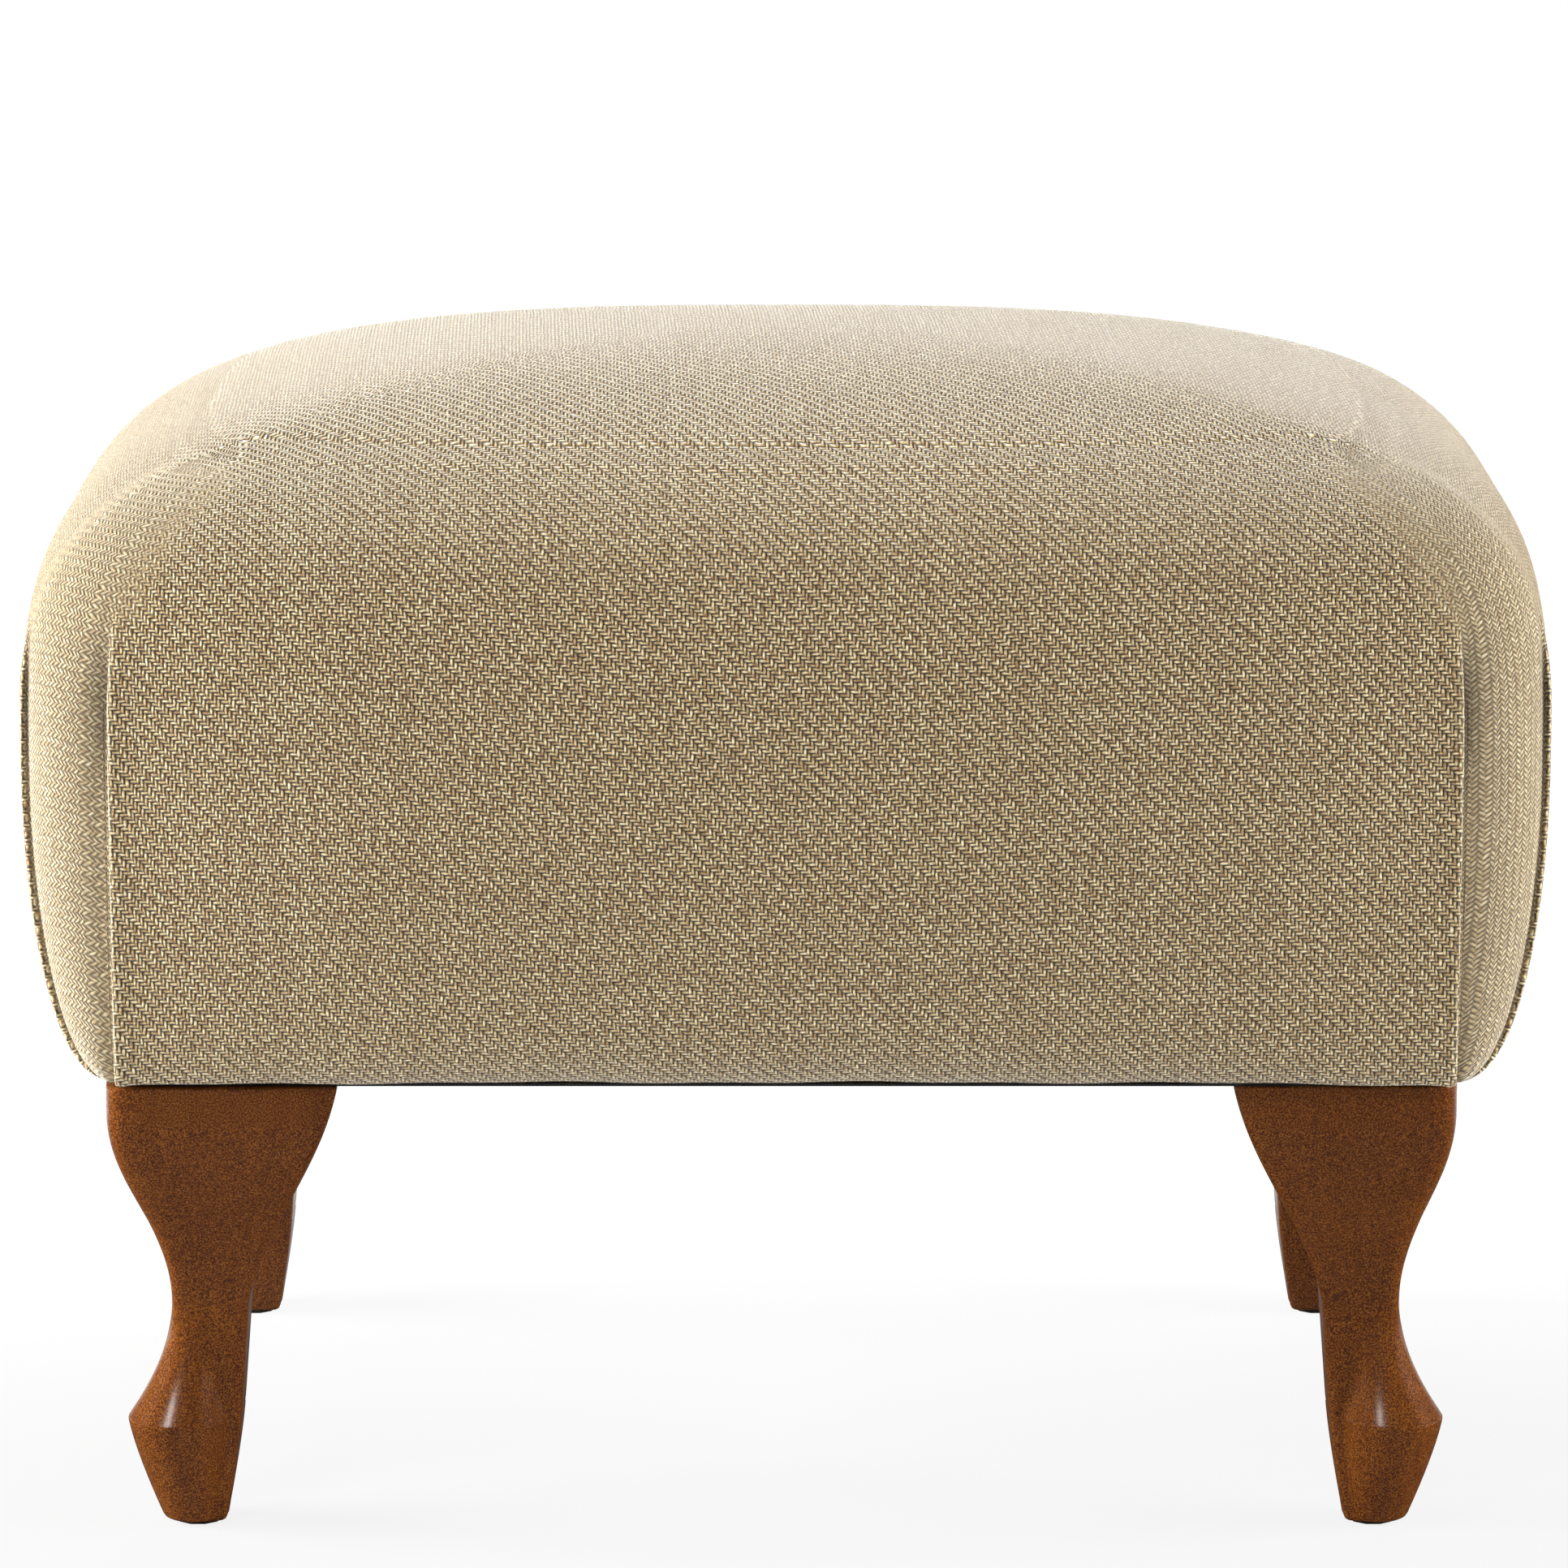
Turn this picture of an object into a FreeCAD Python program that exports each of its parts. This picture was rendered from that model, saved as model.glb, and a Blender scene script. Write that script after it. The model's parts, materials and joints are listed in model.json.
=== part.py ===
import FreeCAD, Part
import math
import os

# Footstool: a crowned seat covered in woven cloth, on four short cabriole legs.
# X runs to the viewer's right, Y away from the viewer and Z up, in millimetres.
# The origin is on the floor under the middle of the stool.

V = FreeCAD.Vector

# Overall size: the hem is where the cover turns under, and the seat swells out above it
hem_width = 433.0
hem_depth = 312.0
side_swell = 30.5
front_swell = 20.0
stool_height = 374.0
leg_height = 150.0

# Outside of the cover
bulge_rise = 100.0
front_bow = 15.0
side_bow = 5.5
hem_bow = 1.2
pleat_front_inset = 3.5
pleat_side_inset = 16.0
pleat_hem_inset = 8.5
pleat_rise = 141.0
pleat_close = 14.0
pleat_step = 1.2
swell_power_share = 2.0
swell_root_share = 0.4
crown_power_share = 4.0
crown_root_share = 0.45
crown_flat_share = 0.997
crown_square_share = 4.0
crown_round_share = 2.4
gusset_swell_share = 0.18
bow_power_share = 3.0

# Cloth, wadding and foam
cloth_thickness = 2.0
hem_turn = 28.0
soft_gap = 0.3
foam_block_height = 60.0
foam_crown_inset = 18.0
foam_crown_bevel_share = 0.66
crown_wadding = 34.0
dust_cover_thickness = 0.8
dust_cover_inset = 6.0
hessian_thickness = 1.0

# Timber frame
frame_gap = 1.5
rail_height = 78.0
rail_thickness = 20.0
dowel_diameter = 8.0
dowel_length = 40.0
dowel_edge = 20.0
dowel_clearance = 0.2
block_size = 62.0
block_chamfer = 34.0
block_height = 60.0

# Screws through the corner blocks
screw_diameter = 4.5
screw_head_diameter = 9.0
screw_grip = 12.0
screw_step = 9.0
screw_clearance = 0.2
screw_back = 14.0

# Leg, measured from the middle of its foot
foot_inset_x = 26.0
foot_inset_y = 29.0
knee_out = 26.5
knee_in = 48.0
knee_drop = 10.0
ankle_height = 74.0
ankle_out = 7.6
ankle_in = 17.5
toe_height = 36.5
toe_out = 22.0
toe_in = 14.7
toe_shift = 8.0
sole_shift = 1.2
heel_out = 9.5
sole_out = 10.6
sole_in = 9.0
leg_outer_cut = 2.9
leg_inner_cut = 1.2
flare_power_share = 1.9
heel_power_share = 1.5
toe_power_share = 1.2
toe_shares = (0.12, 0.4, 0.7, 1)
sole_shares = (0.5, 1)
sole_power_share = 1.3
knee_ease_share = 0.5

# Leg fastening
bolt_diameter = 8.0
bolt_in_leg = 40.0
bolt_in_insert = 18.0
bolt_clearance = 0.15
insert_diameter = 12.0
insert_length = 22.0
insert_flange_diameter = 16.0
insert_flange_thickness = 1.5
glide_diameter = 15.0
glide_thickness = 1.5

# Webbing under the foam
web_width = 50.0
web_thickness = 1.5
web_end_inset = 3.0
long_web_count = 3
cross_web_count = 4
web_slope_gap = 6.0

# Staples
staple_width = 11.0
staple_wire = 0.7
staple_leg = 8.0
staple_clearance = 0.05
hem_staple_pitch = 96.0
dust_staple_pitch = 60.0

# Levels and half sizes that follow
stool_width = hem_width + 2 * side_swell
stool_depth = hem_depth + 2 * front_swell
dust_cover_z = leg_height
hem_z = leg_height + dust_cover_thickness
rail_z = hem_z + cloth_thickness
deck_z = rail_z + rail_height
hessian_z = deck_z + 2 * web_thickness
foam_z = hessian_z + hessian_thickness
full_z = hem_z + bulge_rise
pleat_top_z = hem_z + pleat_rise
cut_overrun = 20.0
foam_crown_z = foam_z + foam_block_height
foam_crown_height = stool_height - crown_wadding - foam_crown_z
half_frame_x = hem_width / 2 - cloth_thickness - frame_gap
half_frame_y = hem_depth / 2 - cloth_thickness - frame_gap
inner_frame_x = half_frame_x - rail_thickness
inner_frame_y = half_frame_y - rail_thickness
rail_middle_z = (rail_z + deck_z) / 2
long_web_pitch = 2 * inner_frame_y / long_web_count
cross_web_pitch = 2 * inner_frame_x / cross_web_count
pleat_front_x = hem_width / 2 - pleat_front_inset
pleat_side_y = hem_depth / 2 - pleat_side_inset
pleat_hem_y = hem_depth / 2 - pleat_hem_inset
foot_x = hem_width / 2 - foot_inset_x
foot_y = hem_depth / 2 - foot_inset_y
bolt_x = foot_x - (knee_in - knee_out) / 2
bolt_y = foot_y - (knee_in - knee_out) / 2
knee_turn_height = (ankle_height + leg_height) / 2

rod_sides = 10
slim_rod_sides = 8
toe_sides = 28
quarter_turns = ((1, 0), (0, 1), (-1, 0), (0, -1))
corners = {
    "front_left": (-1, -1),
    "front_right": (1, -1),
    "rear_left": (-1, 1),
    "rear_right": (1, 1),
}
profile_steps = 120
form_shares = (
    0, 0.015, 0.045, 0.1, 0.18, 0.3, 0.45, 0.57, 0.67, 0.75, 0.815, 0.87, 0.91, 0.945, 0.972, 0.99, 1,
)
front_facets = 8
side_facets = 6
gusset_facets = 4


def block(x0, x1, y0, y1, z0, z1):
    """A rectangular solid between two corners."""
    return Part.makeBox(x1 - x0, y1 - y0, z1 - z0, V(x0, y0, z0))


def rod(diameter, length, start, direction, sides=rod_sides):
    """A many-sided rod from its start point along a direction, its corners on the diameter."""
    radius = diameter / 2
    turn = 2 * math.pi / sides
    outline = [V(radius * math.cos(turn * i), radius * math.sin(turn * i), 0) for i in range(sides)]
    solid = Part.Face(Part.makePolygon(outline + outline[:1])).extrude(V(0, 0, length))
    solid.Placement = FreeCAD.Placement(start, FreeCAD.Rotation(V(0, 0, 1), direction))
    return solid


def to_corner(shape, corner):
    """Mirror a solid made at the right rear corner to the named corner."""
    side_x, side_y = corners[corner]
    if side_x < 0:
        shape = shape.mirror(V(0, 0, 0), V(1, 0, 0))
    if side_y < 0:
        shape = shape.mirror(V(0, 0, 0), V(0, 1, 0))
    return shape


def swell_at(z):
    """How far the cover has swelled out between its hem, 0, and its fullest line, 1."""
    drop = min(max((full_z - z) / bulge_rise, 0), 1)
    return (1 - drop ** swell_power_share) ** swell_root_share


def rise_at(z):
    """How far up the crown a height is, from 0 at the fullest line."""
    share = (z - full_z) / (stool_height - full_z)
    return crown_flat_share * min(max(share, 0), 1)


def reach(z, hem_half, full_half):
    """Half size of the cover's outside at a height."""
    if z <= full_z:
        return hem_half + (full_half - hem_half) * swell_at(z)
    return full_half * (1 - rise_at(z) ** crown_power_share) ** crown_root_share


def drawn_in(hem_half, full_half, inset):
    """Points, half size and height, of the line that lies inset inside the cover's outside."""
    heights = []
    for step in range(profile_steps):
        share = step / profile_steps
        heights.append(hem_z + bulge_rise * share ** 2)
    for step in range(profile_steps + 1):
        share = step / profile_steps
        heights.append(full_z + (stool_height - full_z) * (1 - (1 - share) ** 2))
    outside = [(reach(z, hem_half, full_half), z) for z in heights]
    line = []
    for (r0, z0), (r1, z1) in zip(outside, outside[1:]):
        length = math.hypot(r1 - r0, z1 - z0)
        out_r = (z1 - z0) / length
        out_z = (r0 - r1) / length
        line.append(((r0 + r1) / 2 - inset * out_r, (z0 + z1) / 2 - inset * out_z))
    first_r, first_z = outside[0]
    last_r, last_z = outside[-1]
    line.insert(0, (first_r, first_z + inset))
    line.append((last_r, last_z - inset))
    return line


def half_size_on(line, z):
    """Smallest half size of a drawn-in line at a height."""
    sizes = []
    for (r0, z0), (r1, z1) in zip(line, line[1:]):
        if min(z0, z1) <= z <= max(z0, z1) and z0 != z1:
            sizes.append(r0 + (r1 - r0) * (z - z0) / (z1 - z0))
    if sizes:
        return min(sizes)
    return min(line, key=lambda point: abs(point[1] - z))[0]


def drawn_round(z, along_share, out_share):
    """How far a point of the outline is drawn in where the crown grows rounder toward its top."""
    size_share = (1 - rise_at(z) ** crown_power_share) ** crown_root_share
    square = (along_share ** crown_square_share + out_share ** crown_square_share) ** (1 / crown_square_share)
    return 1 + (1 / square - 1) * (1 - size_share ** crown_round_share)


def fold_places(z):
    """Where the front and side folds run, as shares of the half width and half depth."""
    half_width = reach(z, hem_width / 2, stool_width / 2)
    half_depth = reach(z, hem_depth / 2, stool_depth / 2)
    swell = swell_at(z)
    shrink = half_width / (stool_width / 2) if z > full_z else 1
    bow_y = (hem_bow + (front_bow - hem_bow) * swell) * shrink
    bow_x = (hem_bow + (side_bow - hem_bow) * swell) * shrink
    side_y = (pleat_hem_y + (pleat_side_y - pleat_hem_y) * swell) * shrink
    front = (pleat_front_x * shrink / half_width, 1 - bow_y / half_depth)
    side = (1 - bow_x / half_width, side_y / half_depth)
    return front, side


def plan_outline(z, half_width, half_depth):
    """Outline of the seat at one height: bowed sides and swelled corners in short facets."""
    front_shares, side_shares = fold_places(z)
    front = (front_shares[0] * half_width, front_shares[1] * half_depth)
    side = (side_shares[1] * half_depth, side_shares[0] * half_width)
    points = []
    for quarter, (turn_x, turn_y) in enumerate(quarter_turns):
        faces_front = quarter % 2 == 0
        along_end, out_end = front if faces_front else side
        next_out, next_along = side if faces_front else front
        full_along, full_out = (half_width, half_depth) if faces_front else (half_depth, half_width)
        facets = front_facets if faces_front else side_facets

        def place(along, out):
            drawn = drawn_round(z, abs(along) / full_along, out / full_out)
            return V(drawn * (along * turn_x + out * turn_y), drawn * (along * turn_y - out * turn_x), z)

        for step in range(facets + 1):
            share = 2 * step / facets - 1
            bow = (full_out - out_end) * abs(share) ** bow_power_share
            points.append(place(share * along_end, full_out - bow))
        first = points[-1]
        chord = place(next_along, next_out) - first
        outward = V(chord.y, -chord.x, 0) * gusset_swell_share
        for step in range(1, gusset_facets):
            share = step / gusset_facets
            points.append(first + chord * share + outward * (4 * share * (1 - share)))
    return points


def flat_face(points):
    """A flat face inside an outline."""
    return Part.Face(Part.makePolygon(points + points[:1]))


def faceted(outlines):
    """A solid through outlines one above the other, its four-sided facets split along the shorter way."""
    faces = [flat_face(outlines[0][::-1]), flat_face(outlines[-1])]
    for lower, upper in zip(outlines, outlines[1:]):
        corner_sets = zip(lower, lower[1:] + lower[:1], upper[1:] + upper[:1], upper)
        for low_start, low_end, high_end, high_start in corner_sets:
            if low_start.distanceToPoint(high_end) < low_end.distanceToPoint(high_start):
                faces.append(flat_face([low_start, low_end, high_end]))
                faces.append(flat_face([low_start, high_end, high_start]))
            else:
                faces.append(flat_face([low_start, low_end, high_start]))
                faces.append(flat_face([low_end, high_end, high_start]))
    return Part.Solid(Part.Shell(faces))


def form(inset):
    """The seat's padded form, drawn in by inset from the cover's outside."""
    width_line = drawn_in(hem_width / 2, stool_width / 2, inset)
    depth_line = drawn_in(hem_depth / 2, stool_depth / 2, inset)
    low = hem_z + inset
    high = stool_height - inset
    outlines = []
    for share in form_shares:
        z = low + (high - low) * share
        outlines.append(plan_outline(z, half_size_on(width_line, z), half_size_on(depth_line, z)))
    return faceted(outlines)


def gusset_zone():
    """Space in front of one corner's gusset, closing to a point above the folds."""
    close_z = pleat_top_z + pleat_close
    out_x = stool_width / 2 + cut_overrun
    out_y = stool_depth / 2 + cut_overrun
    low = hem_z - cut_overrun
    point_x = (pleat_front_x + stool_width / 2) / 2
    point_y = (pleat_side_y + stool_depth / 2) / 2
    front = Part.makePolygon([
        V(pleat_front_x, 0, low),
        V(pleat_front_x, 0, pleat_top_z),
        V(point_x, 0, close_z),
        V(out_x, 0, close_z),
        V(out_x, 0, low),
        V(pleat_front_x, 0, low),
    ])
    side = Part.makePolygon([
        V(0, pleat_hem_y, low),
        V(0, pleat_hem_y, hem_z),
        V(0, pleat_side_y, full_z),
        V(0, pleat_side_y, pleat_top_z),
        V(0, point_y, close_z),
        V(0, out_y, close_z),
        V(0, out_y, low),
        V(0, pleat_hem_y, low),
    ])
    front_prism = Part.Face(front).extrude(V(0, out_y, 0))
    side_prism = Part.Face(side).extrude(V(out_x, 0, 0))
    return front_prism.common(side_prism)


def make_cover(outside):
    """One cloth skin, pleated at the corners and turned under the rails."""
    inside = form(cloth_thickness)
    mouth = block(
        hem_turn - hem_width / 2, hem_width / 2 - hem_turn,
        hem_turn - hem_depth / 2, hem_depth / 2 - hem_turn,
        hem_z - cut_overrun, rail_z + cut_overrun,
    )
    skin = outside.cut(inside).cut(mouth)
    recess = gusset_zone().cut(form(pleat_step))
    for corner in corners:
        skin = skin.cut(to_corner(recess, corner))
    return skin


def frame_envelope(gap):
    """The box that the rails, the deck and the hessian fill, with a gap round its sides."""
    return block(
        -half_frame_x - gap, half_frame_x + gap,
        -half_frame_y - gap, half_frame_y + gap,
        hem_z - cut_overrun, foam_z,
    )


def above(z):
    """Everything over a level."""
    return block(-stool_width, stool_width, -stool_depth, stool_depth, z, z + stool_height)


def make_foam_block():
    """Firm slab, cut to the frame, that builds up the seat."""
    return block(
        -half_frame_x, half_frame_x, -half_frame_y, half_frame_y,
        foam_z, foam_crown_z,
    )


def make_foam_crown():
    """Smaller slab with bevelled edges that lifts the middle of the seat."""
    half_x = half_frame_x - foam_crown_inset
    half_y = half_frame_y - foam_crown_inset
    high = foam_crown_z + foam_crown_height
    slab = block(-half_x, half_x, -half_y, half_y, foam_crown_z, high)
    top = max(slab.Faces, key=lambda face: face.CenterOfMass.z)
    return slab.makeChamfer(foam_crown_height * foam_crown_bevel_share, top.Edges)


def make_wadding(inset):
    """Polyester wadding that fills the seat out from the foam and the rails to the cover."""
    solid = form(inset).common(above(rail_z))
    return solid.cut([frame_envelope(soft_gap), make_foam_block(), make_foam_crown()])


def dowel_rods(clearance):
    """Dowels that pin each side rail to the front and rear rails."""
    rods = []
    reach_y = half_frame_y - rail_thickness / 4 - dowel_length
    for x_side in (-1, 1):
        x = x_side * (half_frame_x - rail_thickness / 2)
        for z in (rail_z + dowel_edge, deck_z - dowel_edge):
            for y_side in (-1, 1):
                start = V(x, y_side * (reach_y - clearance), z)
                length = dowel_length + 2 * clearance
                diameter = dowel_diameter + 2 * clearance
                rods.append(rod(diameter, length, start, V(0, y_side, 0), slim_rod_sides))
    return rods


def make_rail(long_rail, far_side):
    """One rail of the frame, at the far side of its axis or the near one."""
    if long_rail:
        y0 = inner_frame_y if far_side else -half_frame_y
        return block(-half_frame_x, half_frame_x, y0, y0 + rail_thickness, rail_z, deck_z)
    x0 = inner_frame_x if far_side else -half_frame_x
    return block(x0, x0 + rail_thickness, -inner_frame_y, inner_frame_y, rail_z, deck_z)


def block_screws(clearance):
    """Two screws at the right rear corner, from the block into its two rails."""
    x0 = inner_frame_x - block_size
    y0 = inner_frame_y - block_size
    places = (
        (V(x0, inner_frame_y - screw_back, rail_middle_z - screw_step / 2), V(1, 0, 0)),
        (V(inner_frame_x - screw_back, y0, rail_middle_z + screw_step / 2), V(0, 1, 0)),
    )
    screws = []
    for head_place, direction in places:
        head_depth = screw_head_diameter / 2
        length = block_size + screw_grip + clearance
        head = rod(screw_head_diameter + 2 * clearance, head_depth, head_place, direction, slim_rod_sides)
        shank = rod(screw_diameter + 2 * clearance, length, head_place, direction, slim_rod_sides)
        screws.append(head.fuse(shank))
    return screws


def make_corner_block():
    """Hardwood block glued and screwed into a corner of the frame, bored for the insert."""
    x0 = inner_frame_x - block_size
    y0 = inner_frame_y - block_size
    outline = Part.makePolygon([
        V(x0 + block_chamfer, y0, rail_z),
        V(inner_frame_x, y0, rail_z),
        V(inner_frame_x, inner_frame_y, rail_z),
        V(x0, inner_frame_y, rail_z),
        V(x0, y0 + block_chamfer, rail_z),
        V(x0 + block_chamfer, y0, rail_z),
    ])
    solid = Part.Face(outline).extrude(V(0, 0, block_height))
    up = V(0, 0, 1)
    place = V(bolt_x, bolt_y, rail_z)
    flange = rod(insert_flange_diameter + 2 * bolt_clearance, insert_flange_thickness, place, up)
    barrel_bore = rod(insert_diameter + 2 * bolt_clearance, insert_length + bolt_clearance, place, up)
    return solid.cut(flange).cut(barrel_bore)


def make_threaded_insert():
    """Flanged steel insert that takes the hanger bolt, flush with the block's underside."""
    up = V(0, 0, 1)
    place = V(bolt_x, bolt_y, rail_z)
    flange = rod(insert_flange_diameter, insert_flange_thickness, place, up)
    barrel_body = rod(insert_diameter, insert_length, place, up)
    bore = rod(bolt_diameter + 2 * bolt_clearance, insert_length, place, up)
    return flange.fuse(barrel_body).cut(bore)


def make_hanger_bolt(clearance):
    """Bolt that joins a leg to its insert."""
    low = leg_height - bolt_in_leg - clearance
    length = rail_z + bolt_in_insert - low
    return rod(bolt_diameter + 2 * clearance, length, V(bolt_x, bolt_y, low), V(0, 0, 1))


def ease(share):
    """Smooth step from 0 to 1."""
    return (1 - math.cos(math.pi * share)) / 2


def leg_out(z):
    """Reach of the leg's outer faces from the middle of the foot."""
    knee_z = leg_height - knee_drop
    if z >= ankle_height:
        share = min((z - ankle_height) / (knee_z - ankle_height), 1)
        return ankle_out + (knee_out - ankle_out) * ease(share)
    if z >= toe_height:
        share = (ankle_height - z) / (ankle_height - toe_height)
        return ankle_out + (toe_out - ankle_out) * share ** flare_power_share
    share = (toe_height - z) / toe_height
    return toe_out - (toe_out - sole_out) * share ** sole_power_share


def leg_in(z):
    """Reach of the leg's inner faces from the middle of the foot."""
    if z >= ankle_height:
        share = (z - ankle_height) / (leg_height - ankle_height)
        eased = knee_ease_share * ease(share) + (1 - knee_ease_share) * share
        return ankle_in + (knee_in - ankle_in) * eased
    if z >= toe_height:
        share = (ankle_height - z) / (ankle_height - toe_height)
        return ankle_in + (toe_in - ankle_in) * share
    share = (toe_height - z) / toe_height
    return toe_in - (toe_in - sole_in) * share ** sole_power_share


def shaft_out(z):
    """Reach of the sawn shaft's outer faces, which run straight down behind the turned toe."""
    if z >= ankle_height:
        return leg_out(z)
    if z >= toe_height:
        share = (ankle_height - z) / (ankle_height - toe_height)
        return ankle_out + (heel_out - ankle_out) * share ** heel_power_share
    return heel_out + (sole_in - heel_out) * (toe_height - z) / toe_height


def toe_outline(z):
    """Outline of the turned toe at a height, its middle shifted toward the stool's corner."""
    if z >= toe_height:
        share = (ankle_height - z) / (ankle_height - toe_height)
        shift = toe_shift * share ** toe_power_share
    else:
        share = ((toe_height - z) / toe_height) ** sole_power_share
        shift = toe_shift + (sole_shift - toe_shift) * share
    radius = leg_out(z) - shift
    turn = 2 * math.pi / toe_sides
    return [
        V(shift + radius * math.cos(turn * i), shift + radius * math.sin(turn * i), z)
        for i in range(toe_sides)
    ]


def leg_profile(along, widen, outer_cut, inner_cut):
    """Side view of the leg's shaft in the upright plane that runs along a direction."""
    def outer_point(z):
        return along * (widen * shaft_out(z) - outer_cut) + V(0, 0, z)

    def inner_point(z):
        return along * (inner_cut - widen * leg_in(z)) + V(0, 0, z)

    def arcs(point_at, heights):
        return [
            Part.Arc(point_at(low), point_at((low + high) / 2), point_at(high)).toShape()
            for low, high in zip(heights, heights[1:])
        ]

    def edge(start, end):
        return Part.LineSegment(start, end).toShape()

    outer = arcs(outer_point, (toe_height, ankle_height, knee_turn_height, leg_height))
    inner = arcs(inner_point, (glide_thickness, ankle_height, knee_turn_height, leg_height))
    heel = edge(outer_point(glide_thickness), outer_point(toe_height))
    top = edge(outer_point(leg_height), inner_point(leg_height))
    sole = edge(inner_point(glide_thickness), outer_point(glide_thickness))
    return Part.Face(Part.Wire([heel] + outer + [top] + inner[::-1] + [sole]))


def sawn_through(profile, across):
    """A profile cut right through a square blank."""
    profile.translate(across * (-2 * knee_in))
    return profile.extrude(across * (4 * knee_in))


def make_toe():
    """Round toe, flared down to a sharp ledge and tapered below it to the sole."""
    flare = [ankle_height + (toe_height - ankle_height) * share for share in toe_shares]
    taper = [toe_height + (glide_thickness - toe_height) * share for share in sole_shares]
    return faceted([toe_outline(z) for z in flare + taper][::-1])


def make_leg():
    """Cabriole leg: a shaft sawn to one profile from two sides, its corners eased, on a turned toe."""
    front_saw = sawn_through(leg_profile(V(1, 0, 0), 1, 0, 0), V(0, 1, 0))
    side_saw = sawn_through(leg_profile(V(0, 1, 0), 1, 0, 0), V(1, 0, 0))
    diagonal = V(1, 1, 0).normalize()
    corner_saw = sawn_through(
        leg_profile(diagonal, math.sqrt(2), leg_outer_cut, leg_inner_cut),
        V(-1, 1, 0).normalize(),
    )
    solid = front_saw.common(side_saw).common(corner_saw).fuse(make_toe())
    solid.translate(V(foot_x, foot_y, 0))
    return solid.cut(make_hanger_bolt(bolt_clearance))


def make_foot_glide():
    """Nylon glide under a foot."""
    return rod(glide_diameter, glide_thickness, V(foot_x, foot_y, 0), V(0, 0, 1))


def spread(count, pitch):
    """Places of evenly spaced things about the middle."""
    return [(index - (count - 1) / 2) * pitch for index in range(count)]


def web_outline(half_length, crossings, level_first):
    """Side view of one strap that passes over and under the straps it crosses."""
    half_flat = web_width / 2 + web_slope_gap
    level = level_first
    lower = [(-half_length, 0)]
    for place in crossings:
        height = level * web_thickness
        slope_gap = web_slope_gap if level else 0
        lower.append((place - half_flat - slope_gap, 0))
        lower.append((place - half_flat + web_slope_gap, height))
        lower.append((place + half_flat - web_slope_gap, height))
        lower.append((place + half_flat + slope_gap, 0))
        level = 1 - level
    lower.append((half_length, 0))
    turns = [
        point for before, point, after in zip(lower, lower[1:], lower[2:])
        if not before[1] == point[1] == after[1]
    ]
    outline = lower[:1] + turns + lower[-1:]
    upper = [(along, height + web_thickness) for along, height in reversed(outline)]
    return outline + upper


def make_web(along_x, index):
    """One woven strap, stapled to the tops of two opposite rails."""
    long_places = spread(long_web_count, long_web_pitch)
    cross_places = spread(cross_web_count, cross_web_pitch)
    if along_x:
        outline = web_outline(half_frame_x - web_end_inset, cross_places, index % 2)
        edge = long_places[index] - web_width / 2
        points = [V(along, edge, deck_z + height) for along, height in outline]
        across = V(0, web_width, 0)
    else:
        outline = web_outline(half_frame_y - web_end_inset, long_places, (index + 1) % 2)
        edge = cross_places[index] - web_width / 2
        points = [V(edge, along, deck_z + height) for along, height in outline]
        across = V(web_width, 0, 0)
    return Part.Face(Part.makePolygon(points + points[:1])).extrude(across)


def make_hessian():
    """Hessian sheet that keeps the foam out of the webbing."""
    return block(-half_frame_x, half_frame_x, -half_frame_y, half_frame_y, hessian_z, foam_z)


def make_dust_cover():
    """Black cambric under the frame, pierced for the four bolts."""
    half_x = hem_width / 2 - dust_cover_inset
    half_y = hem_depth / 2 - dust_cover_inset
    sheet = block(-half_x, half_x, -half_y, half_y, dust_cover_z, hem_z)
    for side_x, side_y in corners.values():
        place = V(side_x * bolt_x, side_y * bolt_y, dust_cover_z)
        sheet = sheet.cut(rod(bolt_diameter + 2 * bolt_clearance, dust_cover_thickness, place, V(0, 0, 1)))
    return sheet


def staple(place, along_x, up, clearance):
    """One staple, its crown at a place and its legs into the timber, or the slit that it makes."""
    wide = staple_width / 2 + clearance
    wire = staple_wire + 2 * clearance
    deep = staple_leg + clearance
    crown = -clearance
    outline = [(-wide, crown), (wide, crown), (wide, deep)]
    if clearance == 0:
        outline += [(wide - wire, deep), (wide - wire, wire), (wire - wide, wire), (wire - wide, deep)]
    outline.append((-wide, deep))
    turn = 1 if up else -1
    if along_x:
        points = [place + V(s, -wire / 2, turn * h) for s, h in outline]
        across = V(0, wire, 0)
    else:
        points = [place + V(-wire / 2, s, turn * h) for s, h in outline]
        across = V(wire, 0, 0)
    return Part.Face(Part.makePolygon(points + points[:1])).extrude(across)


def row_staples(half_x, half_y, room_x, room_y, pitch, z, clearance):
    """Staples in rows along the four rails, seen from below."""
    made = []
    for x in spread(int(2 * room_x / pitch) + 1, pitch):
        for side in (-1, 1):
            made.append(staple(V(x, side * half_y, z), True, True, clearance))
    for y in spread(int(2 * room_y / pitch) + 1, pitch):
        for side in (-1, 1):
            made.append(staple(V(side * half_x, y, z), False, True, clearance))
    return made


def dust_staples(clearance):
    """Staples through the cambric and the hem, between the legs."""
    return row_staples(
        half_frame_x - rail_thickness / 2, half_frame_y - rail_thickness / 2,
        foot_x - knee_in - staple_width, foot_y - knee_in - staple_width, dust_staple_pitch,
        dust_cover_z - staple_wire, clearance,
    )


def hem_staples(clearance):
    """Staples that hold the turned-under hem to the rails, hidden by the cambric."""
    return row_staples(
        inner_frame_x + rail_thickness / 4, inner_frame_y + rail_thickness / 4,
        inner_frame_x - rail_thickness, inner_frame_y - rail_thickness, hem_staple_pitch,
        hem_z, clearance,
    )


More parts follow.
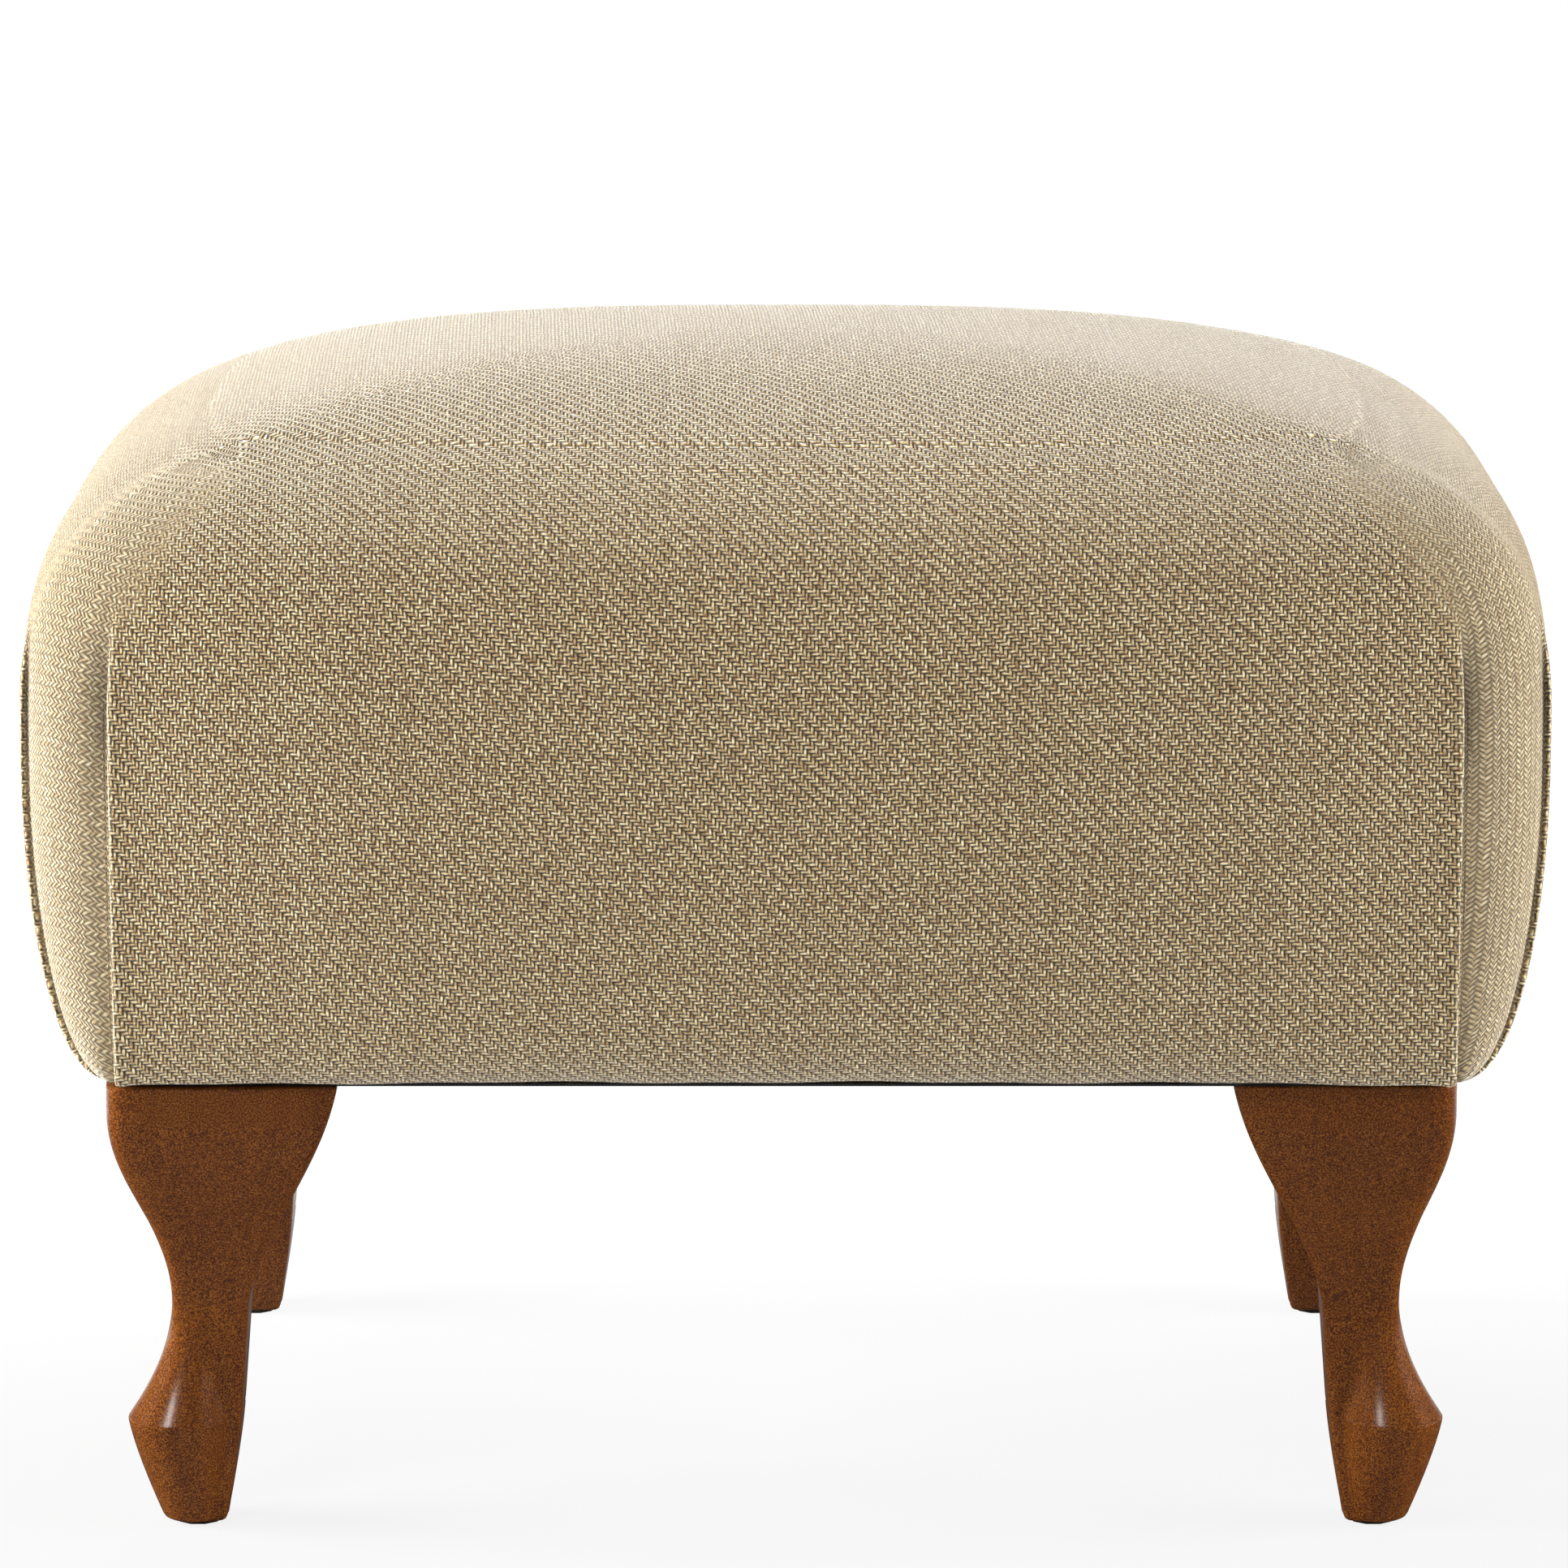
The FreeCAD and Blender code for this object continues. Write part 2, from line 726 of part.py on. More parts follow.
def web_staples(clearance):
    """A staple at each end of each strap."""
    made = []
    z = deck_z + web_thickness + staple_wire
    end_x = half_frame_x - rail_thickness / 2
    end_y = half_frame_y - rail_thickness / 2
    for side in (-1, 1):
        for centre in spread(long_web_count, long_web_pitch):
            made.append(staple(V(side * end_x, centre, z), False, False, clearance))
        for centre in spread(cross_web_count, cross_web_pitch):
            made.append(staple(V(centre, side * end_y, z), True, False, clearance))
    return made


def bored(solid, fasteners):
    """A solid with the seats of the fasteners that reach it cut away."""
    tools = [tool for tool in fasteners if tool.BoundBox.intersect(solid.BoundBox)]
    return solid.cut(tools) if tools else solid


def build():
    """Every piece of the stool by name."""
    pieces = {}
    all_block_screws = []
    screw_seats = []
    for corner in corners:
        all_block_screws += [to_corner(screw, corner) for screw in block_screws(0)]
        screw_seats += [to_corner(screw, corner) for screw in block_screws(screw_clearance)]
    staple_seats = dust_staples(staple_clearance) + hem_staples(staple_clearance)
    web_seats = web_staples(staple_clearance)

    rails = {
        "rail_front": make_rail(True, False),
        "rail_rear": make_rail(True, True),
        "rail_left": make_rail(False, False),
        "rail_right": make_rail(False, True),
    }
    rail_seats = dowel_rods(dowel_clearance) + screw_seats + staple_seats + web_seats
    for name, rail in rails.items():
        pieces[name] = bored(rail, rail_seats)
    pieces["rail_dowels"] = Part.makeCompound(dowel_rods(0))
    pieces["block_screws"] = Part.makeCompound(all_block_screws)

    for corner in corners:
        pieces["corner_block_" + corner] = bored(to_corner(make_corner_block(), corner), screw_seats)
        pieces["leg_" + corner] = to_corner(make_leg(), corner)
        pieces["hanger_bolt_" + corner] = to_corner(make_hanger_bolt(0), corner)
        pieces["threaded_insert_" + corner] = to_corner(make_threaded_insert(), corner)
        pieces["foot_glide_" + corner] = to_corner(make_foot_glide(), corner)

    for index in range(long_web_count):
        pieces["webbing_long_%d" % (index + 1)] = bored(make_web(True, index), web_seats)
    for index in range(cross_web_count):
        pieces["webbing_cross_%d" % (index + 1)] = bored(make_web(False, index), web_seats)
    pieces["webbing_staples"] = Part.makeCompound(web_staples(0))
    pieces["hessian_sheet"] = make_hessian()

    pieces["foam_block"] = make_foam_block()
    pieces["foam_crown"] = make_foam_crown()
    pieces["wadding"] = make_wadding(cloth_thickness + soft_gap)
    pieces["cover"] = bored(make_cover(form(0)), staple_seats)
    pieces["hem_staples"] = Part.makeCompound(hem_staples(0))
    pieces["dust_cover"] = bored(make_dust_cover(), dust_staples(staple_clearance))
    pieces["dust_cover_staples"] = Part.makeCompound(dust_staples(0))
    return pieces


os.makedirs("parts", exist_ok=True)
for piece_name, piece_shape in build().items():
    piece_shape.exportStep("parts/" + piece_name + ".step")
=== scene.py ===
"""Dresses the footstool: a twill cover with pleated corners, cabriole legs, its underside and a stage."""

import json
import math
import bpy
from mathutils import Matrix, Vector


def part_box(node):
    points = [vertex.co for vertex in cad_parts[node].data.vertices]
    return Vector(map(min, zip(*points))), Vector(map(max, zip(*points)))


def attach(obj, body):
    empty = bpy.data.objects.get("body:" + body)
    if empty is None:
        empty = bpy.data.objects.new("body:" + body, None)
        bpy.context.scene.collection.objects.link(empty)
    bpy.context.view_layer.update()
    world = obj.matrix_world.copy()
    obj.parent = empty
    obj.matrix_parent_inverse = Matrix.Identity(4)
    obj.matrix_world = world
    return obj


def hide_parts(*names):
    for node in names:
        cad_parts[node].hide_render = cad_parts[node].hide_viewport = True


bl_info = {
    "name": "Crowned footstool",
    "version": (1, 0, 0),
    "blender": (4, 5, 0),
    "location": "3D View > Sidebar > Footstool",
    "description": "Makes the cover, the legs and the underside of a crowned footstool, and its stage",
    "category": "Add Mesh",
}

from types import SimpleNamespace

import bmesh
import bpy
import numpy as np
from mathutils import Euler, Vector

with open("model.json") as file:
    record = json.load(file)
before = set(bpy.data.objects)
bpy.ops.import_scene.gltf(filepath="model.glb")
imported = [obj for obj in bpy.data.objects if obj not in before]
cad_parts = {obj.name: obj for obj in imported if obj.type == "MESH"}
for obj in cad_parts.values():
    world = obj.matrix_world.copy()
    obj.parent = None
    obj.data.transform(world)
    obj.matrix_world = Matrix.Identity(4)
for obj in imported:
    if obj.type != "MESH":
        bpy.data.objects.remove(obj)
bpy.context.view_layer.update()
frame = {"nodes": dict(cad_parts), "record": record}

MM = 0.001
FIBRE_GRIT = 3.0 * MM
MATHS = "ShaderNodeMath"
CORNERS = {
    "front_left": (-1, -1),
    "front_right": (1, -1),
    "rear_left": (-1, 1),
    "rear_right": (1, 1),
}


def linear(hex_colour):
    """Linear red, green and blue of an sRGB hex colour."""
    parts = [int(hex_colour[place:place + 2], 16) / 255 for place in (1, 3, 5)]
    return tuple(part / 12.92 if part <= 0.04045 else ((part + 0.055) / 1.055) ** 2.4 for part in parts)


def opaque(hex_colour):
    """Linear colour with full alpha."""
    return (*linear(hex_colour), 1.0)


def size_prop(name, description, default):
    """A length in metres that a user may change."""
    return bpy.props.FloatProperty(
        name=name, description=description, default=default, min=0.0, precision=5, unit="LENGTH",
    )


def number_prop(name, description, default, low=0.0):
    """A plain number that a user may change."""
    return bpy.props.FloatProperty(name=name, description=description, default=default, min=low)


def colour_prop(name, description, default):
    """A colour that a user may change."""
    return bpy.props.FloatVectorProperty(
        name=name, description=description, default=linear(default), size=3, min=0.0, max=1.0,
        subtype="COLOR",
    )


class SeatSettings(bpy.types.PropertyGroup):
    """Sizes and colours of the padded seat and its cover."""

    bulge_rise: size_prop("Bulge rise", "Height of the fullest line over the hem", 0.100)
    front_bow: size_prop("Front bow", "How far the front bows out at the fullest line", 0.015)
    side_bow: size_prop("Side bow", "How far the sides bow out at the fullest line", 0.0055)
    hem_bow: size_prop("Hem bow", "How far the hem bows out", 0.0012)
    hem_margin: size_prop("Hem margin", "Cloth that shows round the dust cover", 0.006)
    hem_gap: size_prop("Hem gap", "Dark gap between the hem and the legs", 0.0006)
    hem_lift: size_prop("Hem lift", "How far the hem rises between the legs", 0.0012)
    hem_turn: size_prop("Hem turn", "Cloth turned under the rails", 0.028)
    cloth_thickness: size_prop("Cloth thickness", "Thickness of the woven cloth", 0.0018)
    pleat_front_inset: size_prop("Front pleat inset", "From the hem's corner to the front fold", 0.0035)
    pleat_side_inset: size_prop("Side pleat inset", "From the hem's corner line to the side fold", 0.016)
    pleat_hem_inset: size_prop("Hem pleat inset", "From the hem's corner to the side fold at the hem", 0.0085)
    pleat_rise: size_prop("Pleat rise", "Height of the tops of the folds over the hem", 0.141)
    pleat_fade: size_prop("Pleat fade", "Height over which a fold dies out", 0.014)
    fold_depth: size_prop("Fold depth", "How far a folded edge stands over the corner", 0.00175)
    fold_overlap: size_prop("Fold overlap", "How far the corner runs under a folded edge", 0.0020)
    yarn_pitch: size_prop("Yarn pitch", "From one yarn to the next", 0.00122)
    cell: size_prop("Mesh cell", "Spacing of the cover's mesh", 0.0065)
    sim_cell: size_prop("Simulated cell", "Spacing of the simulated cloth's mesh", 0.010)
    sim_inset: size_prop("Simulated inset", "How much smaller the cloth starts", 0.001)
    sim_cap: size_prop("Movement cap", "Furthest that a point of the cloth may move", 0.0012)
    sim_share: number_prop("Movement share", "Part of the simulated movement that the form keeps", 0.3)
    wadding_gap: size_prop("Wadding gap", "From the outside of the cover to the wadding", 0.0045)
    wadding_depth: size_prop("Wadding depth", "Thickness of the wadding", 0.0045)
    wadding_rise: size_prop("Wadding rise", "Lower edge of the wadding over the hem", 0.010)
    pressure: number_prop("Pressure", "Push of the padding on the cloth", 4.0)
    right_fullness: size_prop("Right fullness", "Extra padding in the right shoulder", 0.0020)
    yarn_light: colour_prop("Light yarn", "Bleached flax yarn", "#efdbb0")
    yarn_mid: colour_prop("Middle yarn", "Khaki yarn", "#c6ab79")
    yarn_dark: colour_prop("Dark yarn", "Tan yarn", "#9a784e")
    # Colour of the painted shade in the gaps between the yarns
    yarn_gap_shade: colour_prop("Gap", "Shade between the yarns", "#19140a")


class LegSettings(bpy.types.PropertyGroup):
    """Sizes and colours of the cabriole legs."""

    knee_out: size_prop("Knee out", "Outer faces of the knee from the middle of the foot", 0.0265)
    knee_in: size_prop("Knee in", "Inner faces of the knee from the middle of the foot", 0.048)
    knee_drop: size_prop("Knee drop", "Height of the straight top of the knee", 0.010)
    right_knee_in: size_prop("Right knee in", "How much slimmer the right knees are", 0.0024)
    ankle_height: size_prop("Ankle height", "Height of the thinnest place", 0.074)
    ankle_out: size_prop("Ankle out", "Outer faces of the ankle from the middle of the foot", 0.0076)
    ankle_in: size_prop("Ankle in", "Inner faces of the ankle from the middle of the foot", 0.0175)
    toe_height: size_prop("Toe height", "Height of the ledge round the toe", 0.0365)
    toe_out: size_prop("Toe out", "Reach of the toe from the middle of the foot", 0.022)
    toe_in: size_prop("Toe in", "Back of the foot from the middle of the foot", 0.0147)
    toe_shift: size_prop("Toe shift", "Middle of the round toe from the middle of the foot", 0.006)
    heel_out: size_prop("Heel out", "Outer faces of the straight shaft behind the toe", 0.0095)
    sole_out: size_prop("Sole out", "Outer reach of the sole", 0.0106)
    sole_in: size_prop("Sole in", "Inner reach of the sole", 0.009)
    knee_radius: size_prop("Knee radius", "Rounding of the knee's outer corner", 0.009)
    edge_radius: size_prop("Edge radius", "Rounding of the other edges", 0.0026)
    wood_base: colour_prop("Walnut", "Walnut stain", "#562b09")
    wood_light: colour_prop("Light grain", "Paler early wood", "#734414")
    wood_dark: colour_prop("Dark grain", "Dark pores and late wood", "#391c09")


class StageSettings(bpy.types.PropertyGroup):
    """Camera and lights."""

    camera_back: size_prop("Camera distance", "Camera in front of the stool's middle", 2.408)
    camera_height: size_prop("Camera height", "Camera above the floor", 0.705)
    camera_pitch: bpy.props.FloatProperty(
        name="Camera pitch", description="How far the camera looks down", default=math.radians(11.44),
        subtype="ANGLE",
    )
    lens: bpy.props.FloatProperty(
        name="Focal length", description="Lens on a 36 mm sensor, in millimetres", default=167.7, min=1.0,
    )
    left_power: number_prop("Left light", "Power of the soft light at the left, in watts", 174.0)
    right_power: number_prop("Right light", "Power of the soft light at the right, in watts", 101.0)
    back_power: number_prop("Back light", "Power of the low soft light behind, in watts", 33.0)
    front_power: number_prop("Front light", "Power of the soft light over the camera, in watts", 12.0)
    gloss_power: number_prop("Gloss light", "Power of the light that glints on the wood, in watts", 22.0)
    fill_strength: number_prop("Fill", "Strength of the even light from all round", 0.02)


def share_between(low, high, share):
    """A value a share of the way from low to high."""
    return low + (high - low) * share


def smooth_step(low, high, value):
    """Eased step from 0 at low to 1 at high."""
    share = np.clip((value - low) / (high - low), 0, 1)
    return share * share * (3 - 2 * share)


def in_millimetres(settings):
    """Every length of the settings, in millimetres."""
    lengths = [item.identifier for item in settings.bl_rna.properties if item.unit == "LENGTH"]
    return SimpleNamespace(**{name: getattr(settings, name) / MM for name in lengths})


# The seat's form, in millimetres


def seat_form(settings):
    """Every size that the cover's shape needs, from the frame and the settings."""
    low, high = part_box("cover")
    dust_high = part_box("dust_cover")[1]
    form = in_millimetres(settings)
    form.full_a = high.x / MM
    form.full_b = high.y / MM
    form.hem_z = low.z / MM
    form.top_z = high.z / MM
    form.hem_a = (dust_high.x + settings.hem_margin) / MM
    form.hem_b = (dust_high.y + settings.hem_margin) / MM
    form.full_z = form.hem_z + form.bulge_rise
    form.fold_x = form.hem_a - form.pleat_front_inset
    form.fold_y = form.hem_b - form.pleat_side_inset
    form.hem_fold_y = form.hem_b - form.pleat_hem_inset
    form.pleat_z = form.hem_z + form.pleat_rise
    form.bow_power = 3.0
    form.corner_fullness = 1.25
    form.swell_power = 2.0
    form.swell_root = 0.46
    form.crown_power = 4.0
    form.crown_root = 0.45
    form.top_squareness = 4.0
    form.top_rounding = 2.4
    form.edge_share = 0.80
    form.edge_rise_share = (1 - form.edge_share ** (1 / form.crown_root)) ** (1 / form.crown_power)
    return form


def lower_row(form, share):
    """One level of the sides, from the hem at 0 to the fullest line at 1."""
    climb = share * share
    swell = (1 - (1 - climb) ** form.swell_power) ** form.swell_root
    row = SimpleNamespace()
    row.size = 1.0
    row.z = form.hem_z + form.bulge_rise * climb
    row.a = share_between(form.hem_a, form.full_a, swell)
    row.b = share_between(form.hem_b, form.full_b, swell)
    row.bow_x = share_between(form.hem_bow, form.side_bow, swell)
    row.bow_y = share_between(form.hem_bow, form.front_bow, swell)
    row.fold_x = form.fold_x
    row.fold_y = share_between(form.hem_fold_y, form.fold_y, swell)
    return row


def crown_row(form, size_share):
    """One level of the crown, from its fullest line at 1 to the middle of the top at 0."""
    row = SimpleNamespace()
    climb = (1 - size_share ** (1 / form.crown_root)) ** (1 / form.crown_power)
    row.size = size_share
    row.z = form.full_z + (form.top_z - form.full_z) * climb
    row.a = form.full_a * size_share
    row.b = form.full_b * size_share
    row.bow_x = form.side_bow * size_share
    row.bow_y = form.front_bow * size_share
    row.fold_x = form.fold_x * size_share
    row.fold_y = form.fold_y * size_share
    return row


def row_at(form, place):
    """The level at a place: 0 at the hem, 1 at the fullest line, 2 at the edge of the top."""
    if place <= 1:
        return lower_row(form, place)
    climb = (place - 1) * form.edge_rise_share
    return crown_row(form, (1 - climb ** form.crown_power) ** form.crown_root)


def even_places(form, cell):
    """Places of levels that lie about a cell apart along the widest section."""
    trial_count = 1201
    places = np.linspace(0, 2, trial_count)
    rows = [row_at(form, place) for place in places]
    steps = [math.hypot(r1.a - r0.a, r1.z - r0.z) for r0, r1 in zip(rows, rows[1:])]
    run = np.concatenate([[0], np.cumsum(steps)])
    count = round(run[-1] / cell)
    return np.interp(np.linspace(0, run[-1], count + 1), run, places)


def corner_curve(form, row, shares):
    """Points of a rounded corner, from the front fold at share 0 to the side fold at 1."""
    start = np.array([row.fold_x, row.b - row.bow_y])
    end = np.array([row.a - row.bow_x, row.fold_y])
    start_way = np.array([1.0, -form.bow_power * row.bow_y / row.fold_x])
    end_way = np.array([form.bow_power * row.bow_x / row.fold_y, -1.0])
    reach = form.corner_fullness * np.linalg.norm(end - start)
    start_way *= reach / np.linalg.norm(start_way)
    end_way *= reach / np.linalg.norm(end_way)
    s = np.asarray(shares)[:, None]
    from_start = (2 * s ** 3 - 3 * s ** 2 + 1) * start + (s ** 3 - 2 * s ** 2 + s) * start_way
    to_end = (3 * s ** 2 - 2 * s ** 3) * end + (s ** 3 - s ** 2) * end_way
    return from_start + to_end


def drawn_round(form, row, x_share, y_share):
    """How far points of an outline are drawn in where the crown grows rounder toward its top."""
    square = (x_share ** form.top_squareness + y_share ** form.top_squareness) ** (1 / form.top_squareness)
    return 1 + (1 / square - 1) * (1 - row.size ** form.top_rounding)


def ring_points(form, row, columns, front_share, side_share):
    """Points of a row's outline for columns that run from 0 to 8 round the four sides."""
    side = np.floor(columns / 2).astype(int) % 4
    share = columns - 2 * np.floor(columns / 2) - 1
    on_front = side % 2 == 0
    size = np.abs(share)
    fold_share = np.where(on_front, front_share, side_share)
    panel = np.minimum(size / fold_share, 1)
    past_fold = np.clip((size - fold_share) / (1 - fold_share), 0, 1) / 2
    corner = corner_curve(form, row, np.where(on_front, past_fold, 1 - past_fold))
    bowed = panel ** form.bow_power
    panel_x = np.where(on_front, row.fold_x * panel, row.a - row.bow_x * bowed)
    panel_y = np.where(on_front, row.b - row.bow_y * bowed, row.fold_y * panel)
    x = np.where(size <= fold_share, panel_x, corner[:, 0])
    y = np.where(size <= fold_share, panel_y, corner[:, 1])
    drawn = drawn_round(form, row, x / row.a, y / row.b)
    along = np.where(on_front, x, y) * np.sign(share) * drawn
    out = np.where(on_front, y, x) * drawn
    turn_x = np.array([1, 0, -1, 0])[side]
    turn_y = np.array([0, 1, 0, -1])[side]
    return np.stack([along * turn_x + out * turn_y, along * turn_y - out * turn_x], axis=-1)


def side_shares(cell, half_panel, half_corner, fold_share, extra):
    """Column shares of half a side, from its middle to its corner, with extra ones beside the fold."""
    clear_cells = 1.5
    panel_count = round(half_panel / cell)
    corner_count = max(2, round(half_corner / cell))
    panel = [fold_share * step / panel_count for step in range(panel_count)]
    corner = [fold_share + (1 - fold_share) * step / corner_count for step in range(corner_count + 1)]
    if extra:
        reach = clear_cells * cell
        panel = [share for share in panel if (fold_share - share) / fold_share * half_panel > reach]
        corner = corner[-1:]
        for offset in extra:
            if offset <= 0:
                panel.append(fold_share * (1 + offset / half_panel))
            else:
                corner.append(fold_share + (1 - fold_share) * offset / half_corner)
    return sorted(set(panel + corner))


def whole_side(half):
    """Shares of a whole side from those of its positive half."""
    return [-share for share in reversed(half) if share > 0] + half


class SeatGrid:
    """Rows and columns of the cover, and the grid that closes its top."""

    def __init__(self, form, cell, extra=()):
        full = lower_row(form, 1)
        trial_count = 41
        corner = corner_curve(form, full, np.linspace(0, 1, trial_count))
        half_corner = np.linalg.norm(np.diff(corner, axis=0), axis=1).sum() / 2
        self.form = form
        self.half_corner = half_corner
        self.front_share = full.fold_x / (full.fold_x + half_corner)
        self.side_share = full.fold_y / (full.fold_y + half_corner)
        front_half = side_shares(cell, full.fold_x, half_corner, self.front_share, extra)
        side_half = side_shares(cell, full.fold_y, half_corner, self.side_share, extra)
        self.front = whole_side(front_half)
        self.side = whole_side(side_half)
        columns = []
        for side, shares in enumerate((self.front, self.side, self.front, self.side)):
            columns += [2 * side + 1 + share for share in shares[:-1]]
        self.columns = np.array(columns)
        self.places = even_places(form, cell)
        self.band = self.make_band()
        self.top = self.make_top()

    def make_band(self):
        """Points of the sides and shoulders, one row of the array to a level."""
        band = []
        for place in self.places:
            row = row_at(self.form, place)
            points = ring_points(self.form, row, self.columns, self.front_share, self.side_share)
            band.append(np.column_stack([points, np.full(len(points), row.z)]))
        return np.array(band)

    def make_top(self):
        """Points of the top, a row of the array to each share of a side from front to rear."""
        top = np.zeros((len(self.side), len(self.front), 3))
        for j, t in enumerate(self.side):
            for i, s in enumerate(self.front):
                size = max(abs(s), abs(t))
                row = crown_row(self.form, self.form.edge_share * size)
                if size == 0:
                    top[j, i] = (0, 0, row.z)
                    continue
                if abs(t) >= abs(s):
                    column = 1 + s / size if t < 0 else 5 - s / size
                else:
                    column = 3 + t / size if s > 0 else 7 - t / size
                place = np.array([column % 8])
                point = ring_points(self.form, row, place, self.front_share, self.side_share)[0]
                top[j, i] = (point[0], point[1], row.z)
        return top

    def rim_index(self):
        """Grid place, row and column, that each column of the band meets at the edge of the top."""
        last_j, last_i = len(self.side) - 1, len(self.front) - 1
        rim = [(0, i) for i in range(last_i)]
        rim += [(j, last_i) for j in range(last_j)]
        rim += [(last_j, last_i - i) for i in range(last_i)]
        rim += [(last_j - j, 0) for j in range(last_j)]
        return rim

    def fold_distance(self):
        """Signed distance of each column from its fold, in millimetres, over 0 in the corner."""
        side = np.floor(self.columns / 2).astype(int) % 4
        share = np.abs(self.columns - 2 * np.floor(self.columns / 2) - 1)
        fold_share = np.where(side % 2 == 0, self.front_share, self.side_share)
        half_panel = np.where(side % 2 == 0, self.form.fold_x, self.form.fold_y)
        return np.where(
            share <= fold_share,
            (share / fold_share - 1) * half_panel,
            (share - fold_share) / (1 - fold_share) * self.half_corner,
        )


def unit(vectors):
    """Vectors brought to length 1."""
    return vectors / np.linalg.norm(vectors, axis=-1, keepdims=True)


def outward(band):
    """Unit normals of the band, pointing out of the seat."""
    along = np.roll(band, -1, axis=1) - np.roll(band, 1, axis=1)
    return unit(np.cross(along, np.gradient(band, axis=0)))


def top_outward(top):
    """Unit normals of the top."""
    return unit(np.cross(np.gradient(top, axis=1), np.gradient(top, axis=0)))


def rim_joined(grid, band_values, top_values):
    """Top values whose rim takes the uppermost band values."""
    joined = top_values.copy()
    for column, (j, i) in enumerate(grid.rim_index()):
        joined[j, i] = band_values[-1, column]
    return joined


def skin_normals(grid, band, top):
    """Unit normals of the sides and of the top, alike along their rim."""
    sides = outward(band)
    return sides, rim_joined(grid, sides, top_outward(top))


def skin_faces(grid, first, levels, top_start):
    """Faces of the sides, whose first point is given, and of the top that closes them."""
    count = len(grid.columns)
    wide = len(grid.front)
    rim = [top_start + j * wide + i for j, i in grid.rim_index()]
    faces = []
    for level in range(levels):
        low = [first + level * count + column for column in range(count)]
        high = rim if level == levels - 1 else [point + count for point in low]
        for column in range(count):
            after = (column + 1) % count
            faces.append((low[column], low[after], high[after], high[column]))
    for j in range(len(grid.side) - 1):
        for i in range(wide - 1):
            corner = top_start + j * wide + i
            faces.append((corner, corner + 1, corner + wide + 1, corner + wide))
    return faces


# The cloth simulation


def closed_mesh(name, grid, band, top):
    """A closed mesh of the sides and the top, with a flat underside."""
    rows, count = band.shape[:2]
    points = np.concatenate([band[:-1].reshape(-1, 3), top.reshape(-1, 3)])
    base = (rows - 1) * count
    faces = skin_faces(grid, 0, rows - 1, base)
    faces.append(tuple(reversed(range(count))))
    mesh = bpy.data.meshes.new(name)
    mesh.from_pydata([Vector(point) * MM for point in points], [], faces)
    mesh.validate()
    return mesh, base


def held_points(form, coarse):
    """Points of the coarse band that stay put: the tacked hem and the sewn folds."""
    on_fold = 0.01
    tacked_rows = 2
    count = len(coarse.columns)
    folds = [column for column, distance in enumerate(coarse.fold_distance()) if abs(distance) < on_fold]
    sewn = [row for row in range(len(coarse.places) - 1) if coarse.band[row, 0, 2] < form.pleat_z]
    return list(range(tacked_rows * count)) + [row * count + column for row in sewn for column in folds]


def pressed_out(blank, pressure):
    """Points of a cloth that its padding presses out, in millimetres."""
    stiffness = {"tension": 12, "compression": 12, "shear": 6, "bending": 1.5}
    last_frame = 20
    cloth = blank.modifiers.new("cloth", "CLOTH")
    cloth.settings.vertex_group_mass = "held"
    cloth.settings.use_pressure = True
    cloth.settings.uniform_pressure_force = pressure
    for way, value in stiffness.items():
        setattr(cloth.settings, way + "_stiffness", value)
    cloth.settings.effector_weights.gravity = 0
    cloth.point_cache.frame_start = 1
    cloth.point_cache.frame_end = last_frame
    scene = bpy.context.scene
    for step in range(1, last_frame + 1):
        scene.frame_set(step)
    shown = blank.evaluated_get(bpy.context.evaluated_depsgraph_get())
    points = np.array([vertex.co for vertex in shown.data.vertices]) / MM
    scene.frame_set(1)
    return points


def simulated_moves(settings, form, coarse):
    """How far pressed-out cloth moves from the plain form, for a coarse grid, capped."""
    hem_place = 0.25
    normal, top_normal = skin_normals(coarse, coarse.band, coarse.top)
    held = smooth_step(0.0, hem_place, coarse.places)[:, None, None]
    band_start = coarse.band - normal * form.sim_inset * held
    top_start = rim_joined(coarse, band_start, coarse.top - top_normal * form.sim_inset)
    mesh, base = closed_mesh("cloth_blank", coarse, band_start, top_start)
    blank = bpy.data.objects.new("cloth_blank", mesh)
    bpy.context.scene.collection.objects.link(blank)
    blank.vertex_groups.new(name="held").add(held_points(form, coarse), 1.0, "REPLACE")
    points = pressed_out(blank, settings.pressure)
    bpy.data.objects.remove(blank)
    bpy.data.meshes.remove(mesh)
    top = points[base:].reshape(coarse.top.shape)
    band = coarse.band.copy()
    band[:-1] = points[:base].reshape(coarse.band[:-1].shape)
    for column, (j, i) in enumerate(coarse.rim_index()):
        band[-1, column] = top[j, i]
    moves = []
    for moved, plain, way in ((band, coarse.band, normal), (top, coarse.top, top_normal)):
        out = np.sum((moved - plain) * way, axis=2, keepdims=True)
        moves.append(way * np.clip(out * settings.sim_share, -form.sim_cap, form.sim_cap))
    return moves


def spread(values, rows, columns, new_rows, new_columns):
    """Values of a grid read at new rows and columns."""
    across = np.apply_along_axis(lambda line: np.interp(new_columns, columns, line), 1, values)
    return np.apply_along_axis(lambda line: np.interp(new_rows, rows, line), 0, across)


def spread_moves(coarse, moves, fine):
    """The coarse band's and top's moves, read at the fine grid."""
    columns = np.append(coarse.columns, coarse.columns[0] + 8)
    wrapped = np.concatenate([moves[0], moves[0][:, :1]], axis=1)
    band = spread(wrapped, coarse.places, columns, fine.places, fine.columns)
    return band, spread(moves[1], coarse.side, coarse.front, fine.side, fine.front)


# The cover

